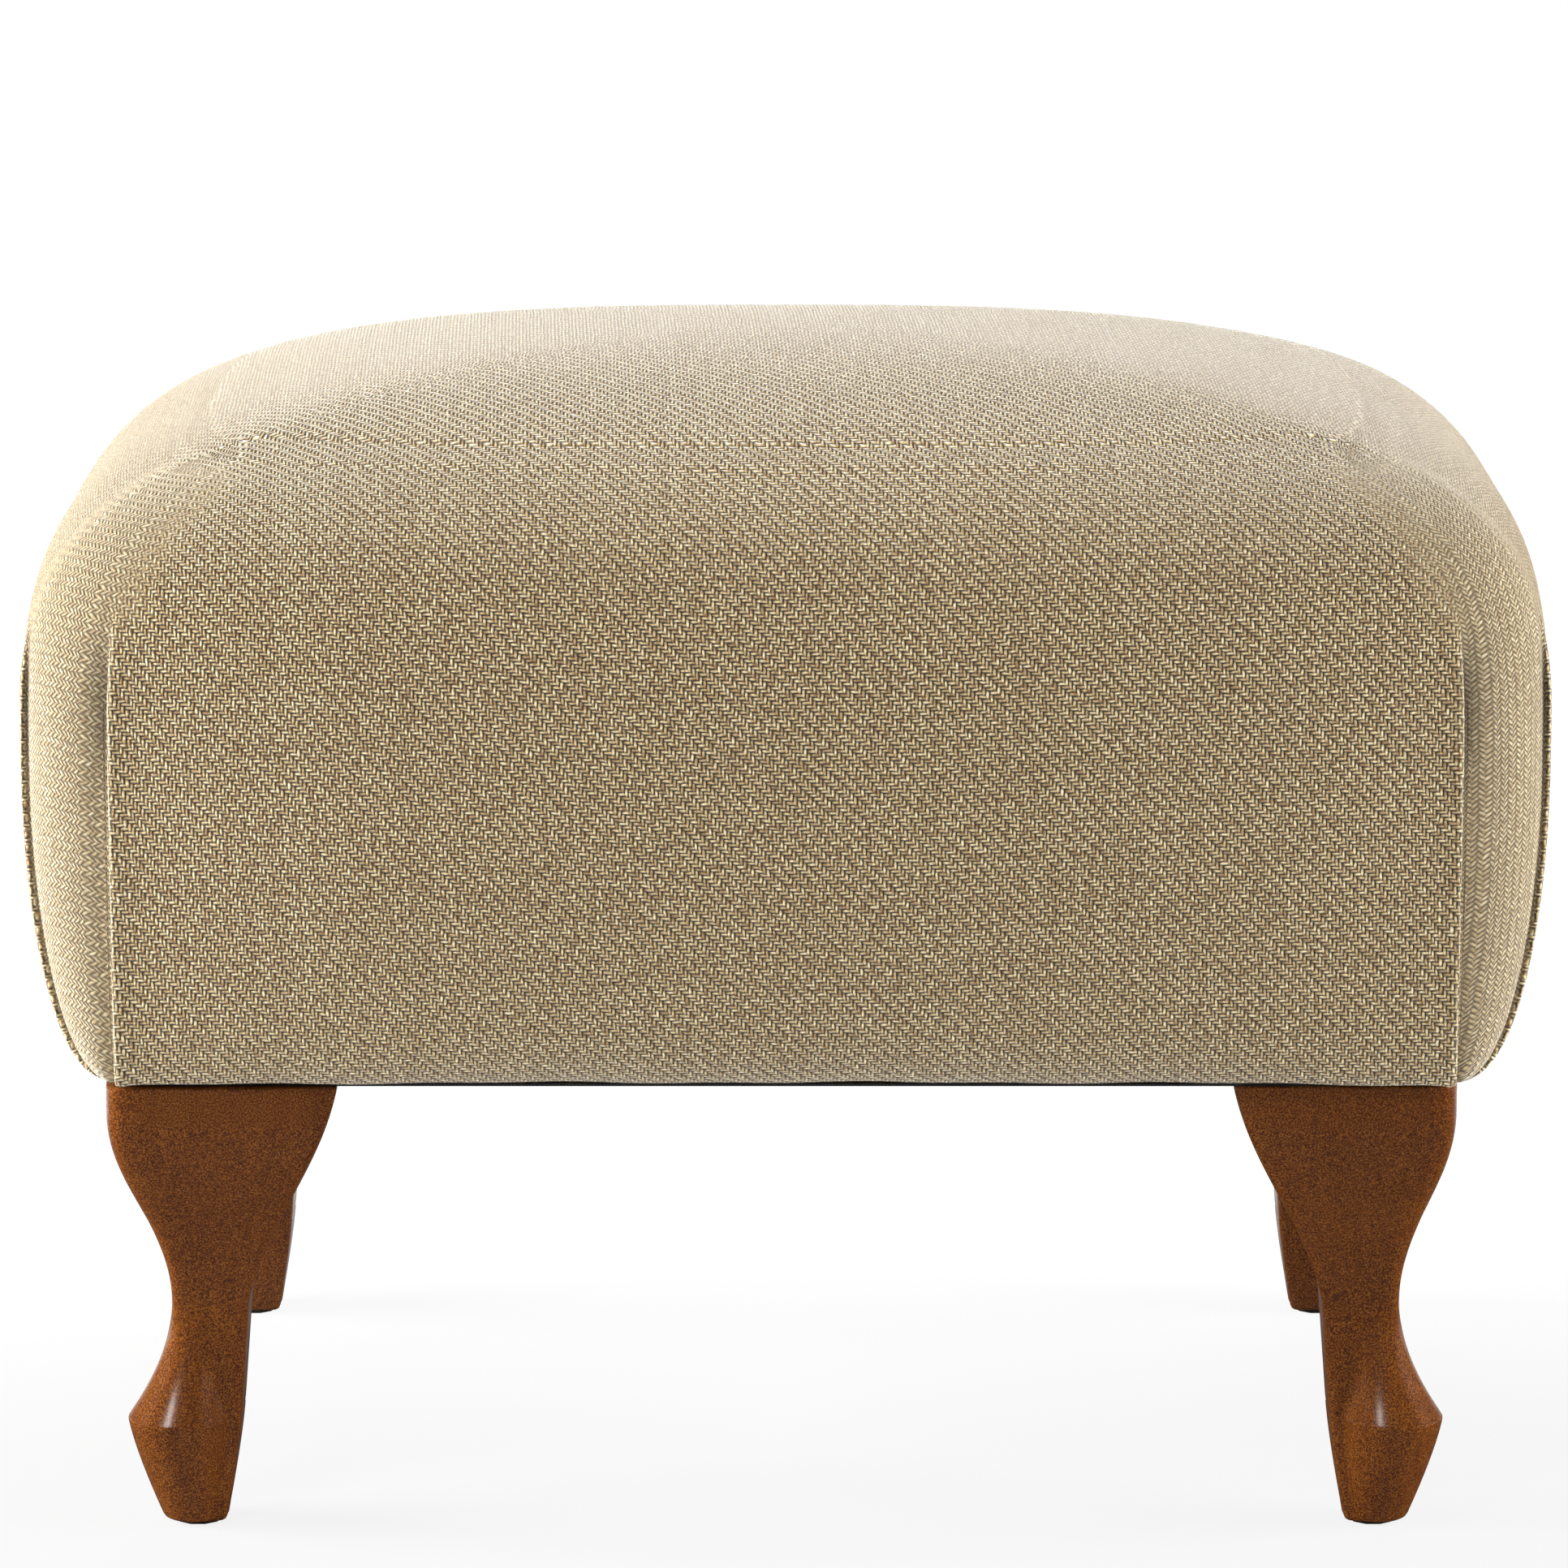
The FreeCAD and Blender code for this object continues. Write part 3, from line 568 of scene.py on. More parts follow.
fold_place_shares = (-2.0, -1.0, -0.5, -0.24, -0.08, 0.04, 0.16, 0.34, 0.6, 1.1, 2.0)
fold_out_shares = (0.0, 0.15, 0.4, 0.66, 0.6, 0.1, -0.9, -1.12, -0.9, -0.4, -0.1)
fold_under_shares = (0.0, 0.0, 0.0, 0.0, 0.0, 0.12, 1.0, 0.75, 0.3, 0.0, 0.0)
fold_width = 7.0


def fold_moves(form, grid, band, normal):
    """Moves that lay each panel's folded edge over its corner."""
    least_room_share = 0.35
    distance = grid.fold_distance()
    places = np.array(fold_place_shares) * fold_width
    out = np.interp(distance, places, fold_out_shares) * form.fold_depth
    under = np.interp(distance, places, fold_under_shares) * form.fold_overlap
    rows = [row_at(form, place) for place in grid.places]
    corner_width = np.array([row.a - row.bow_x - row.fold_x for row in rows])
    room = np.clip(corner_width / corner_width.max(), least_room_share, 1)
    along = unit(np.roll(band, -1, axis=1) - np.roll(band, 1, axis=1))
    to_panel = -np.sign(grid.columns - 2 * np.floor(grid.columns / 2) - 1)
    open_share = fold_openness(form, band[:, 0, 2])
    lift = normal * (out[None, :] * open_share[:, None])[:, :, None]
    tuck = along * (under * to_panel * (open_share * room)[:, None])[:, :, None]
    return lift + tuck


def fold_openness(form, z):
    """How far the folds are open at a height, from 1 below their tops to 0 above."""
    return 1 - smooth_step(form.pleat_z - form.pleat_fade, form.pleat_z + form.pleat_fade, z)


# Painted light across each fold: painted shade on the corner's side, and a painted highlight (the negative
# share) along the panel's folded edge
fold_painted_light_shares = (0.0, 0.0, 0.0, 0.0, -1.0, 0.2, 1.0, 0.8, 0.35, 0.0, 0.0)


def fold_painted_light(form, grid, band):
    """Painted light by each fold: how deep each point lies in painted shade beside a folded edge, deepest
    near the fold's top, and negative for a painted highlight along the panel's folded edge.
    """
    deep_from, deep_to = 60, 15
    gusset_share = 0.2
    panel_share = 0.6
    z = band[:, :, 2]
    distance = np.broadcast_to(grid.fold_distance(), z.shape)
    beside = np.interp(distance, np.array(fold_place_shares) * fold_width, fold_painted_light_shares)
    near_top = smooth_step(form.pleat_z - deep_from, form.pleat_z - deep_to, z)
    on_gusset = distance > gusset_share * fold_width
    depth = np.where(on_gusset, near_top, share_between(panel_share, 1.0, near_top))
    return (beside * fold_openness(form, z) * depth)[:, :, None]


def hem_raise(form, band):
    """How far the hem is drawn up between the corners."""
    corner_share = 0.8
    fade_height = 18
    long_sway, short_sway = 0.25, 0.2
    long_wave, short_wave, cross_wave = 17.0, 7.3, 11.0
    x, y, z = np.moveaxis(band, 2, 0)
    x_share = np.abs(x) / form.full_a
    y_share = np.abs(y) / form.full_b
    along_share = np.where(y_share > x_share, x_share, y_share)
    middle = 1 - np.clip(along_share / corner_share, 0, 1) ** 3
    near = 1 - smooth_step(form.hem_z, form.hem_z + fade_height, z)
    sway = long_sway * np.sin(x / long_wave) + short_sway * np.sin(x / short_wave + y / cross_wave)
    return (form.hem_gap + form.hem_lift * middle + sway) * near


def cloth_places(form, grid, band, top):
    """Where each point lies on the flat cloth, straight on the panels and on the bias at the corners."""
    crease_share = (0.6, 1.0)
    ease_place = (-14.0, 8.0)
    ease_run = 18.0
    shoulder_height = 20
    rim = np.array([top[j, i] for j, i in grid.rim_index()])
    steps = np.linalg.norm(np.diff(band[::-1], axis=0), axis=2)
    run = np.concatenate([np.zeros((1, band.shape[1])), np.cumsum(steps, axis=0)])[::-1]
    side_x = np.sign(rim[:, 0])
    side_y = np.sign(rim[:, 1])
    on_side = (np.floor(grid.columns / 2).astype(int) % 2).astype(bool)
    panel_x = np.where(on_side, rim[:, 0] + side_x * run, band[:, :, 0])
    panel_y = np.where(on_side, band[:, :, 1], rim[:, 1] + side_y * run)
    panel_way = np.stack([panel_x, panel_y], axis=2)

    around = np.linalg.norm(np.roll(band, -1, axis=1) - band, axis=2)
    girth = np.concatenate([np.zeros((len(band), 1)), np.cumsum(around, axis=1)], axis=1)
    corner = np.round(grid.columns / 2).astype(int)
    starts = [int(np.argmin(np.abs(grid.columns - 2 * index))) for index in range(4)]
    girth_at_corner = np.stack([girth[:, start] for start in starts] + [girth[:, -1]], axis=1)[:, corner]
    from_corner = girth[:, :-1] - girth_at_corner
    corner_rim = rim[np.array(starts)[corner % 4]]
    out_x = np.sign(corner_rim[:, 0]) / math.sqrt(2)
    out_y = np.sign(corner_rim[:, 1]) / math.sqrt(2)
    bias_way = np.stack([
        corner_rim[:, 0] + out_x * run - out_y * from_corner,
        corner_rim[:, 1] + out_y * run + out_x * from_corner,
    ], axis=2)

    distance = grid.fold_distance()[None, :]
    above = smooth_step(form.pleat_z, form.pleat_z + shoulder_height, band[:, :, 2])
    creased = smooth_step(*crease_share, distance)
    easy = smooth_step(*ease_place, distance) * smooth_step(0.0, ease_run, run)
    return panel_way, bias_way, share_between(creased, easy, above)


def shell_mesh(name, grid, outer, top, inner, inner_top):
    """A closed skin with an outer and an inner side, joined at its lower edge."""
    count = len(grid.columns)
    blocks = [part.reshape(-1, 3) for part in (outer[:-1], top, inner[:-1], inner_top)]
    starts = np.cumsum([0] + [len(block) for block in blocks])
    faces = skin_faces(grid, starts[0], len(outer) - 1, starts[1])
    faces += [face[::-1] for face in skin_faces(grid, starts[2], len(inner) - 1, starts[3])]
    for column in range(count):
        after = (column + 1) % count
        faces.append((starts[2] + column, starts[2] + after, starts[0] + after, starts[0] + column))
    mesh = bpy.data.meshes.new(name)
    points = np.concatenate(blocks) * MM
    mesh.from_pydata(points.tolist(), [], [[int(place) for place in face] for face in faces])
    return mesh


def add_layer(mesh, name, band_values, top_values, hem_count):
    """Store values on the skin's points, the same on its outer and inner side."""
    hem_values = np.repeat(band_values[:1], hem_count, axis=0)
    width = band_values.shape[2]
    sides = (hem_values, band_values[:-1], top_values, hem_values[:-1], band_values[:-1], top_values)
    flat = np.concatenate([part.reshape(-1, width) for part in sides]).astype(np.float32)
    if width == 1:
        layer = mesh.attributes.new(name, "FLOAT", "POINT")
        layer.data.foreach_set("value", flat.ravel())
        return
    layer = mesh.attributes.new(name, "FLOAT_VECTOR", "POINT")
    flat = np.column_stack([flat * MM, np.zeros(len(flat), np.float32)])
    layer.data.foreach_set("vector", flat.ravel())


def turned_hem(form, edge):
    """Rows of the hem under the rails, from its cut edge to its fold."""
    turns = (form.hem_turn, form.hem_turn / 2, 4.0, 1.2)
    rows = np.repeat(edge[None], len(turns), axis=0)
    for row, turn in zip(rows, turns):
        row[:, 0] *= (form.hem_a - turn) / form.hem_a
        row[:, 1] *= (form.hem_b - turn) / form.hem_b
    return rows


def make_seat_cover(form, grid, band, top):
    """The whole cover as one closed skin: sides, shoulders, top and turned-under hem."""
    panel_way, bias_way, bias_share = cloth_places(form, grid, band, top)
    normal, top_normal = skin_normals(grid, band, top)
    thickness = form.cloth_thickness
    inner_band = band - normal * thickness
    inner_top = top - top_normal * thickness
    band = band + fold_moves(form, grid, band, normal)
    raised = hem_raise(form, band)
    band[:, :, 2] += raised
    inner_band[:, :, 2] = np.maximum(inner_band[:, :, 2] + raised, form.hem_z + thickness + raised)
    hem = turned_hem(form, band[0])
    inner_hem = hem[:-1] + (0, 0, thickness)
    outer = np.concatenate([hem, band])
    inner = np.concatenate([inner_hem, inner_band])
    mesh = shell_mesh("seat_cover", grid, outer, top, inner, inner_top)
    plain_top = np.zeros((*top.shape[:2], 1))
    for name, sides, top_values in (
        ("cloth_panel", panel_way, top[:, :, :2]),
        ("cloth_bias", bias_way, top[:, :, :2]),
        ("bias_share", bias_share[:, :, None], plain_top),
        # The folds' painted shade and painted highlight, kept as a layer on the cloth
        ("fold_painted_light", fold_painted_light(form, grid, band), plain_top),
    ):
        add_layer(mesh, name, sides, top_values, len(hem))
    mesh.update()
    return add_piece("seat_cover", mesh)


def make_seat_wadding(form, grid, band, top):
    """The soft layer under the cover, as a closed skin of its own."""
    normal, top_normal = skin_normals(grid, band, top)
    first = int(np.argmax(band[:, 0, 2] > form.hem_z + form.wadding_rise))
    sides = []
    for inset in (form.wadding_gap, form.wadding_gap + form.wadding_depth):
        sides += [(band - normal * inset)[first:], top - top_normal * inset]
    return add_piece("seat_wadding", shell_mesh("seat_wadding", grid, *sides))


def fuller_right(form, points):
    """How far the right shoulder stands out, for points of the seat."""
    inner_share, outer_share = 0.45, 0.85
    shoulder_from, shoulder_to = 40, 75
    crown_from, crown_to = 36, 8
    x, z = points[:, :, 0], points[:, :, 2]
    beside = smooth_step(form.full_a * inner_share, form.full_a * outer_share, x)
    shoulder = smooth_step(form.full_z + shoulder_from, form.full_z + shoulder_to, z)
    crown = 1 - smooth_step(form.top_z - crown_from, form.top_z - crown_to, z)
    return (form.right_fullness * beside * shoulder * crown)[:, :, None]


def make_seat(settings):
    """The cover and the wadding, over one pressed-out form."""
    form = seat_form(settings)
    coarse = SeatGrid(form, form.sim_cell)
    extra = tuple(share * fold_width for share in fold_place_shares[1:-1])
    fine = SeatGrid(form, form.cell, extra)
    moves = [np.zeros_like(coarse.band), np.zeros_like(coarse.top)]
    moves = simulated_moves(settings, form, coarse)
    pressed = []
    for grid, moved in ((fine, spread_moves(coarse, moves, fine)), (coarse, moves)):
        grid.band += outward(grid.band) * fuller_right(form, grid.band)
        grid.top += top_outward(grid.top) * fuller_right(form, grid.top)
        band = grid.band + moved[0]
        pressed.append((form, grid, band, rim_joined(grid, band, grid.top + moved[1])))
    return make_seat_cover(*pressed[0]), make_seat_wadding(*pressed[1])


def add_piece(name, mesh, smooth=True):
    """Put a finished mesh in the scene at the origin."""
    piece = bpy.data.objects.new(name, mesh)
    bpy.context.scene.collection.objects.link(piece)
    if smooth:
        mesh.shade_smooth()
    return piece


def add_subdivision(piece, levels):
    """Finish a piece with a subdivision surface."""
    rounding = piece.modifiers.new("rounding", "SUBSURF")
    rounding.levels = levels
    rounding.render_levels = levels
    return rounding


# The legs, in millimetres from the middle of the foot, at the right rear corner


def leg_sizes(settings):
    """The leg's sizes in millimetres, with its ends from the frame."""
    low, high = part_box("leg_rear_right")
    sizes = in_millimetres(settings)
    sizes.sole_z = low.z / MM
    sizes.top_z = high.z / MM
    return sizes


def ease(share):
    """Smooth step from 0 to 1."""
    return (1 - math.cos(math.pi * min(max(share, 0), 1))) / 2


def leg_section(sizes, z):
    """Reach of the outer faces, inner faces, shaft and round toe at a height."""
    toe_flare, shaft_flare, toe_growth, sole_taper = 1.9, 1.5, 1.2, 1.25
    sole_shift_share = 0.85
    toe_share = 0.0
    if z >= sizes.ankle_height:
        rise = z - sizes.ankle_height
        knee_rise = sizes.top_z - sizes.knee_drop - sizes.ankle_height
        share = rise / (sizes.top_z - sizes.ankle_height)
        out = share_between(sizes.ankle_out, sizes.knee_out, ease(rise / knee_rise))
        inside = share_between(sizes.ankle_in, sizes.knee_in, (ease(share) + share) / 2)
        shaft = out
    elif z >= sizes.toe_height:
        share = (sizes.ankle_height - z) / (sizes.ankle_height - sizes.toe_height)
        out = share_between(sizes.ankle_out, sizes.toe_out, share ** toe_flare)
        inside = share_between(sizes.ankle_in, sizes.toe_in, share)
        shaft = share_between(sizes.ankle_out, sizes.heel_out, share ** shaft_flare)
        toe_share = share ** toe_growth
    else:
        share = ((sizes.toe_height - z) / sizes.toe_height) ** sole_taper
        out = share_between(sizes.toe_out, sizes.sole_out, share)
        inside = share_between(sizes.toe_in, sizes.sole_in, share)
        shaft = share_between(sizes.heel_out, sizes.sole_in, share)
        toe_share = 1 - sole_shift_share * share
    return out, inside, shaft, sizes.toe_shift * toe_share


def squared_reach(cosine, sine, plus, minus, outer_radius, edge_radius):
    """Reach of a square section with rounded corners in one direction."""
    roundest, radius_squareness = 2.4, 2.37
    reach_x = plus if cosine > 0 else minus
    reach_y = plus if sine > 0 else minus
    radius = outer_radius if cosine > 0 and sine > 0 else edge_radius
    squareness = max(roundest, radius_squareness * max(reach_x, reach_y) / radius)
    return ((abs(cosine) / reach_x) ** squareness + (abs(sine) / reach_y) ** squareness) ** (-1 / squareness)


def round_reach(cosine, sine, shift, radius):
    """Reach of a round toe whose middle is shifted along the diagonal, in one direction."""
    along = (cosine + sine) * shift
    inner = along * along - 2 * shift * shift + radius * radius
    return along + math.sqrt(max(inner, 0)) if inner > 0 else 0


def blended(first, second, softness):
    """The larger of two lengths with a soft change between them."""
    gap = abs(first - second)
    ease_in = max(softness - gap, 0)
    return max(first, second) + ease_in * ease_in / (4 * softness)


def leg_ring(sizes, z, angles, edge_in):
    """One closed section of the leg."""
    corner_share = 0.62
    join_width = 2.5
    join_growth = 3
    out, inside, shaft, shift = leg_section(sizes, z)
    outer_radius = min(sizes.knee_radius, corner_share * shaft)
    ring = []
    for angle in angles:
        cosine, sine = math.cos(angle), math.sin(angle)
        reach = squared_reach(cosine, sine, shaft, inside, outer_radius, sizes.edge_radius)
        if shift > 0:
            softness = min(join_width, join_width * shift / sizes.toe_shift * join_growth)
            reach = blended(reach, round_reach(cosine, sine, shift, out - shift), softness)
        reach -= edge_in
        ring.append((reach * cosine, reach * sine, z))
    return ring


def leg_heights(sizes):
    """Heights of the leg's sections with the amount that each is drawn in at an edge."""
    sole_edge = ((0.0, 1.0), (0.5, 0.25), (1.5, 0.0))
    ledge = ((-0.5, 0.0), (0.0, 0.15), (0.45, 0.1))
    top_edge = ((-0.6, 0.1), (0.0, 0.7))
    foot_clear, ledge_clear = 4, 2
    foot_count, shaft_count = 9, 44
    foot = np.linspace(sizes.sole_z + foot_clear, sizes.toe_height - ledge_clear, foot_count)
    shaft = np.linspace(sizes.toe_height + ledge_clear, sizes.top_z - ledge_clear, shaft_count)
    heights = [(sizes.sole_z + rise, edge_in) for rise, edge_in in sole_edge]
    heights += [(z, 0.0) for z in foot]
    heights += [(sizes.toe_height + rise, edge_in) for rise, edge_in in ledge]
    heights += [(z, 0.0) for z in shaft]
    heights += [(sizes.top_z + rise, edge_in) for rise, edge_in in top_edge]
    return heights


def make_leg(name, settings):
    """One cabriole leg as rings of sections, capped at its sole and top."""
    sizes = leg_sizes(settings)
    side_x, side_y = CORNERS[name]
    if side_x > 0:
        sizes.knee_out -= sizes.right_knee_in
    low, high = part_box("foot_glide_" + name)
    foot = (low + high) / 2
    count = 96
    angles = [2 * math.pi * (step + 0.5) / count for step in range(count)]
    shape = bmesh.new()
    rings = []
    for z, edge_in in leg_heights(sizes):
        ring = []
        for x, y, height in leg_ring(sizes, z, angles, edge_in):
            ring.append(shape.verts.new((foot.x + side_x * x * MM, foot.y + side_y * y * MM, height * MM)))
        rings.append(ring)
    for below, above in zip(rings, rings[1:]):
        for step in range(count):
            after = (step + 1) % count
            shape.faces.new((below[step], below[after], above[after], above[step]))
    for ring in (rings[0], rings[-1]):
        middle = shape.verts.new(sum((vert.co for vert in ring), Vector()) / count)
        for step in range(count):
            shape.faces.new((ring[step], ring[(step + 1) % count], middle))
    bmesh.ops.recalc_face_normals(shape, faces=shape.faces)
    mesh = bpy.data.meshes.new("leg_" + name + "_turned")
    shape.to_mesh(mesh)
    shape.free()
    return add_piece("leg_" + name + "_turned", mesh)


# Materials


def fill_sockets(tree, node, sockets):
    """Give each socket its value, or link it to the output that stands there, a node's first one."""
    for name, value in sockets.items():
        if isinstance(value, bpy.types.Node):
            value = next(output for output in value.outputs if output.enabled)
        if isinstance(value, bpy.types.NodeSocket):
            tree.links.new(value, node.inputs[name])
        else:
            node.inputs[name].default_value = value


def add_node(tree, kind, *terms, stops=(), **named):
    """Add a node: terms fill its sockets in order, capital names by name, and the rest are settings."""
    node = tree.nodes.new(kind)
    sockets = dict(enumerate(terms))
    for name, value in named.items():
        if name[0].isupper():
            sockets[name.replace("_", " ")] = value
        else:
            setattr(node, name, value)
    fill_sockets(tree, node, sockets)
    if stops:
        tones = node.color_ramp.elements
        tones[0].position, tones[1].position = stops[0][0], stops[-1][0]
        for place, colour in stops[1:-1]:
            tones.new(place)
        for tone, (place, colour) in zip(tones, stops):
            tone.color = (*colour, 1.0)
    return node


def emptied_tree(holder):
    """The node tree of a material or a world, emptied."""
    holder.use_nodes = True
    holder.node_tree.nodes.clear()
    return holder.node_tree


def new_material(name):
    """A material and its empty node tree."""
    material = bpy.data.materials.new(name)
    return material, emptied_tree(material)


def object_places(tree):
    """Object coordinates."""
    return add_node(tree, "ShaderNodeTexCoord").outputs["Object"]


def surfaced(material, **sockets):
    """The material with its surface shader."""
    shader = add_node(material.node_tree, "ShaderNodeBsdfPrincipled", **sockets)
    add_node(material.node_tree, "ShaderNodeOutputMaterial", Surface=shader)
    return material


def yarn_direction(tree, run, index, phase, spread):
    """Height and tone of one direction's yarns: round, over two and under two, each of its own shade."""
    roundness = 0.9
    lift_slope, lift_middle = 0.6, 0.5
    float_length, float_start = 4.0, 2.0
    float_share, yarn_share = 0.15, 0.3
    rounded, lifted, count = run, phase, phase
    for step, *terms in (("FRACT",), ("MULTIPLY", math.pi), ("SINE",), ("POWER", roundness)):
        rounded = add_node(tree, MATHS, rounded, *terms, operation=step)
    for step, *terms in (("MULTIPLY", math.pi / 2), ("COSINE",), ("MULTIPLY_ADD", lift_slope, lift_middle)):
        lifted = add_node(tree, MATHS, lifted, *terms, operation=step)
    lifted = add_node(tree, "ShaderNodeClamp", lifted)
    height = add_node(tree, MATHS, rounded, lifted, operation="MULTIPLY")
    for step, *terms in (("ADD", float_start), ("DIVIDE", float_length), ("FLOOR",)):
        count = add_node(tree, MATHS, count, *terms, operation=step)
    place = add_node(tree, "ShaderNodeCombineXYZ", X=index, Y=count, Z=spread)
    one_float = add_node(tree, "ShaderNodeTexWhiteNoise", Vector=place)
    place = add_node(tree, MATHS, index, spread, operation="MULTIPLY")
    yarn = add_node(tree, "ShaderNodeTexNoise", W=place, Scale=1.0, noise_dimensions="1D")
    yarn = add_node(tree, MATHS, yarn, yarn_share, operation="MULTIPLY")
    tone = add_node(tree, MATHS, one_float, float_share, yarn, operation="MULTIPLY_ADD")
    return height, tone


def twill_weave(settings):
    """Node group: height and colour of a two-up two-down twill at a place on the flat cloth."""
    lean = math.radians(-2.0)
    slub_length = 5.5 * MM
    slub_drift = 0.9 * MM
    fleck_length = 1.6 * MM
    drawn_share = 0.96
    weft_skew_share = 0.045
    weft_shift = 1.72
    fleck_contrast, tone_shift = 1.3, 0.275
    gap_height, full_height = 0.26, 0.86
    warp_spread, weft_spread = 7.31, 5.73
    tree = bpy.data.node_groups.new("twill_weave", "ShaderNodeTree")
    tree.interface.new_socket("Place", in_out="INPUT", socket_type="NodeSocketVector")
    tree.interface.new_socket("Height", in_out="OUTPUT", socket_type="NodeSocketFloat")
    tree.interface.new_socket("Colour", in_out="OUTPUT", socket_type="NodeSocketColor")
    source = add_node(tree, "NodeGroupInput").outputs["Place"]
    turned = add_node(tree, "ShaderNodeMapping", Vector=source, Rotation=(0.0, 0.0, lean))
    slub, fleck = [
        add_node(
            tree, "ShaderNodeTexNoise", Vector=turned, Scale=1 / length, Detail=2.0, noise_dimensions="2D",
        )
        for length in (slub_length, fleck_length)
    ]
    drift = (slub_drift, slub_drift, 0.0)
    drifted = add_node(
        tree, "ShaderNodeVectorMath", slub.outputs["Color"], drift, turned, operation="MULTIPLY_ADD",
    )
    parts = add_node(tree, "ShaderNodeSeparateXYZ", drifted).outputs
    skewed = add_node(tree, MATHS, parts["X"], weft_skew_share, parts["Y"], operation="MULTIPLY_ADD")
    pitch = settings.yarn_pitch * drawn_share
    warp_run, weft_run = [
        add_node(tree, MATHS, place, pitch, operation="DIVIDE") for place in (parts["X"], skewed)
    ]
    warp_index, weft_index = [add_node(tree, MATHS, run, operation="FLOOR") for run in (warp_run, weft_run)]
    warp_phase = add_node(tree, MATHS, weft_run, warp_index, operation="ADD")
    weft_phase = add_node(tree, MATHS, warp_run, weft_index, operation="ADD")
    weft_phase = add_node(tree, MATHS, weft_phase, weft_shift, operation="ADD")
    warp_height, warp_tone = yarn_direction(tree, warp_run, warp_index, warp_phase, warp_spread)
    weft_height, weft_tone = yarn_direction(tree, weft_run, weft_index, weft_phase, weft_spread)
    on_top = add_node(tree, MATHS, warp_height, weft_height, operation="GREATER_THAN")
    height = add_node(tree, MATHS, warp_height, weft_height, operation="MAXIMUM")
    yarn = add_node(tree, "ShaderNodeMix", Factor=on_top, A=weft_tone, B=warp_tone)
    yarn = add_node(tree, MATHS, yarn, tone_shift, operation="ADD")
    fleck = add_node(tree, MATHS, fleck, 0.5, operation="SUBTRACT")
    tone = add_node(tree, MATHS, fleck, fleck_contrast, yarn, operation="MULTIPLY_ADD")
    yarns = add_node(tree, "ShaderNodeValToRGB", tone, stops=(
        (0.25, settings.yarn_dark), (0.5, settings.yarn_mid), (0.78, settings.yarn_light),
    ))
    # The low places between the yarns fade to the gap colour: painted shade in the gaps
    gap_shade_mask = add_node(tree, "ShaderNodeMapRange", Value=height, From_Min=gap_height, From_Max=full_height)
    gap = (*settings.yarn_gap_shade, 1.0)
    colour = add_node(tree, "ShaderNodeMix", Factor=gap_shade_mask, A=gap, B=yarns, data_type="RGBA")
    add_node(tree, "NodeGroupOutput", Height=height, Colour=colour)
    return tree


def linen_twill(settings):
    """Two-up two-down twill of slubby flax yarns: diagonal ribs, short bright floats and gaps painted dark as
    shade, with painted shade and a painted highlight at the folds.
    """
    rib_depth = 0.8 * MM
    bias_share, bias_middle = 0.55, 0.3
    # Shares of the fold layer that paint shade beside each fold and paint a highlight along its folded edge
    painted_shade_share, edge_share = 0.85, -0.4
    material, tree = new_material("linen_twill")
    weave = twill_weave(settings)
    layers = {
        name: add_node(tree, "ShaderNodeAttribute", attribute_name=name).outputs
        for name in ("cloth_panel", "cloth_bias", "bias_share", "fold_painted_light")
    }
    straight, bias = [
        add_node(tree, "ShaderNodeGroup", Place=layers[name]["Vector"], node_tree=weave).outputs
        for name in ("cloth_panel", "cloth_bias")
    ]
    on_bias = layers["bias_share"]["Fac"]
    # Painted shade beside each fold, and a painted highlight along its folded edge
    shade, edge = [
        add_node(tree, MATHS, layers["fold_painted_light"]["Fac"], share, operation="MULTIPLY")
        for share in (painted_shade_share, edge_share)
    ]
    eased = add_node(tree, MATHS, bias["Height"], bias_share, bias_middle, operation="MULTIPLY_ADD")
    height = add_node(tree, "ShaderNodeMix", Factor=on_bias, A=straight["Height"], B=eased)
    faded = add_node(
        tree, "ShaderNodeMix", Factor=0.45, A=bias["Colour"], B=opaque("#93876f"), data_type="RGBA",
    )
    # Over the faded bias, #30200f paints the folds' shade and #cbbe9e paints their highlight
    colour = straight["Colour"]
    for share, other in ((on_bias, faded), (shade, opaque("#30200f")), (edge, opaque("#cbbe9e"))):
        colour = add_node(tree, "ShaderNodeMix", Factor=share, A=colour, B=other, data_type="RGBA")
    relief = add_node(tree, "ShaderNodeBump", Height=height, Strength=1.0, Distance=rib_depth)
    return surfaced(
        material, Base_Color=colour, Normal=relief, Roughness=0.62, Specular_IOR_Level=0.4,
        Sheen_Weight=0.6, Sheen_Roughness=0.4, Sheen_Tint=(1.0, 0.96, 0.88, 1.0),
    )


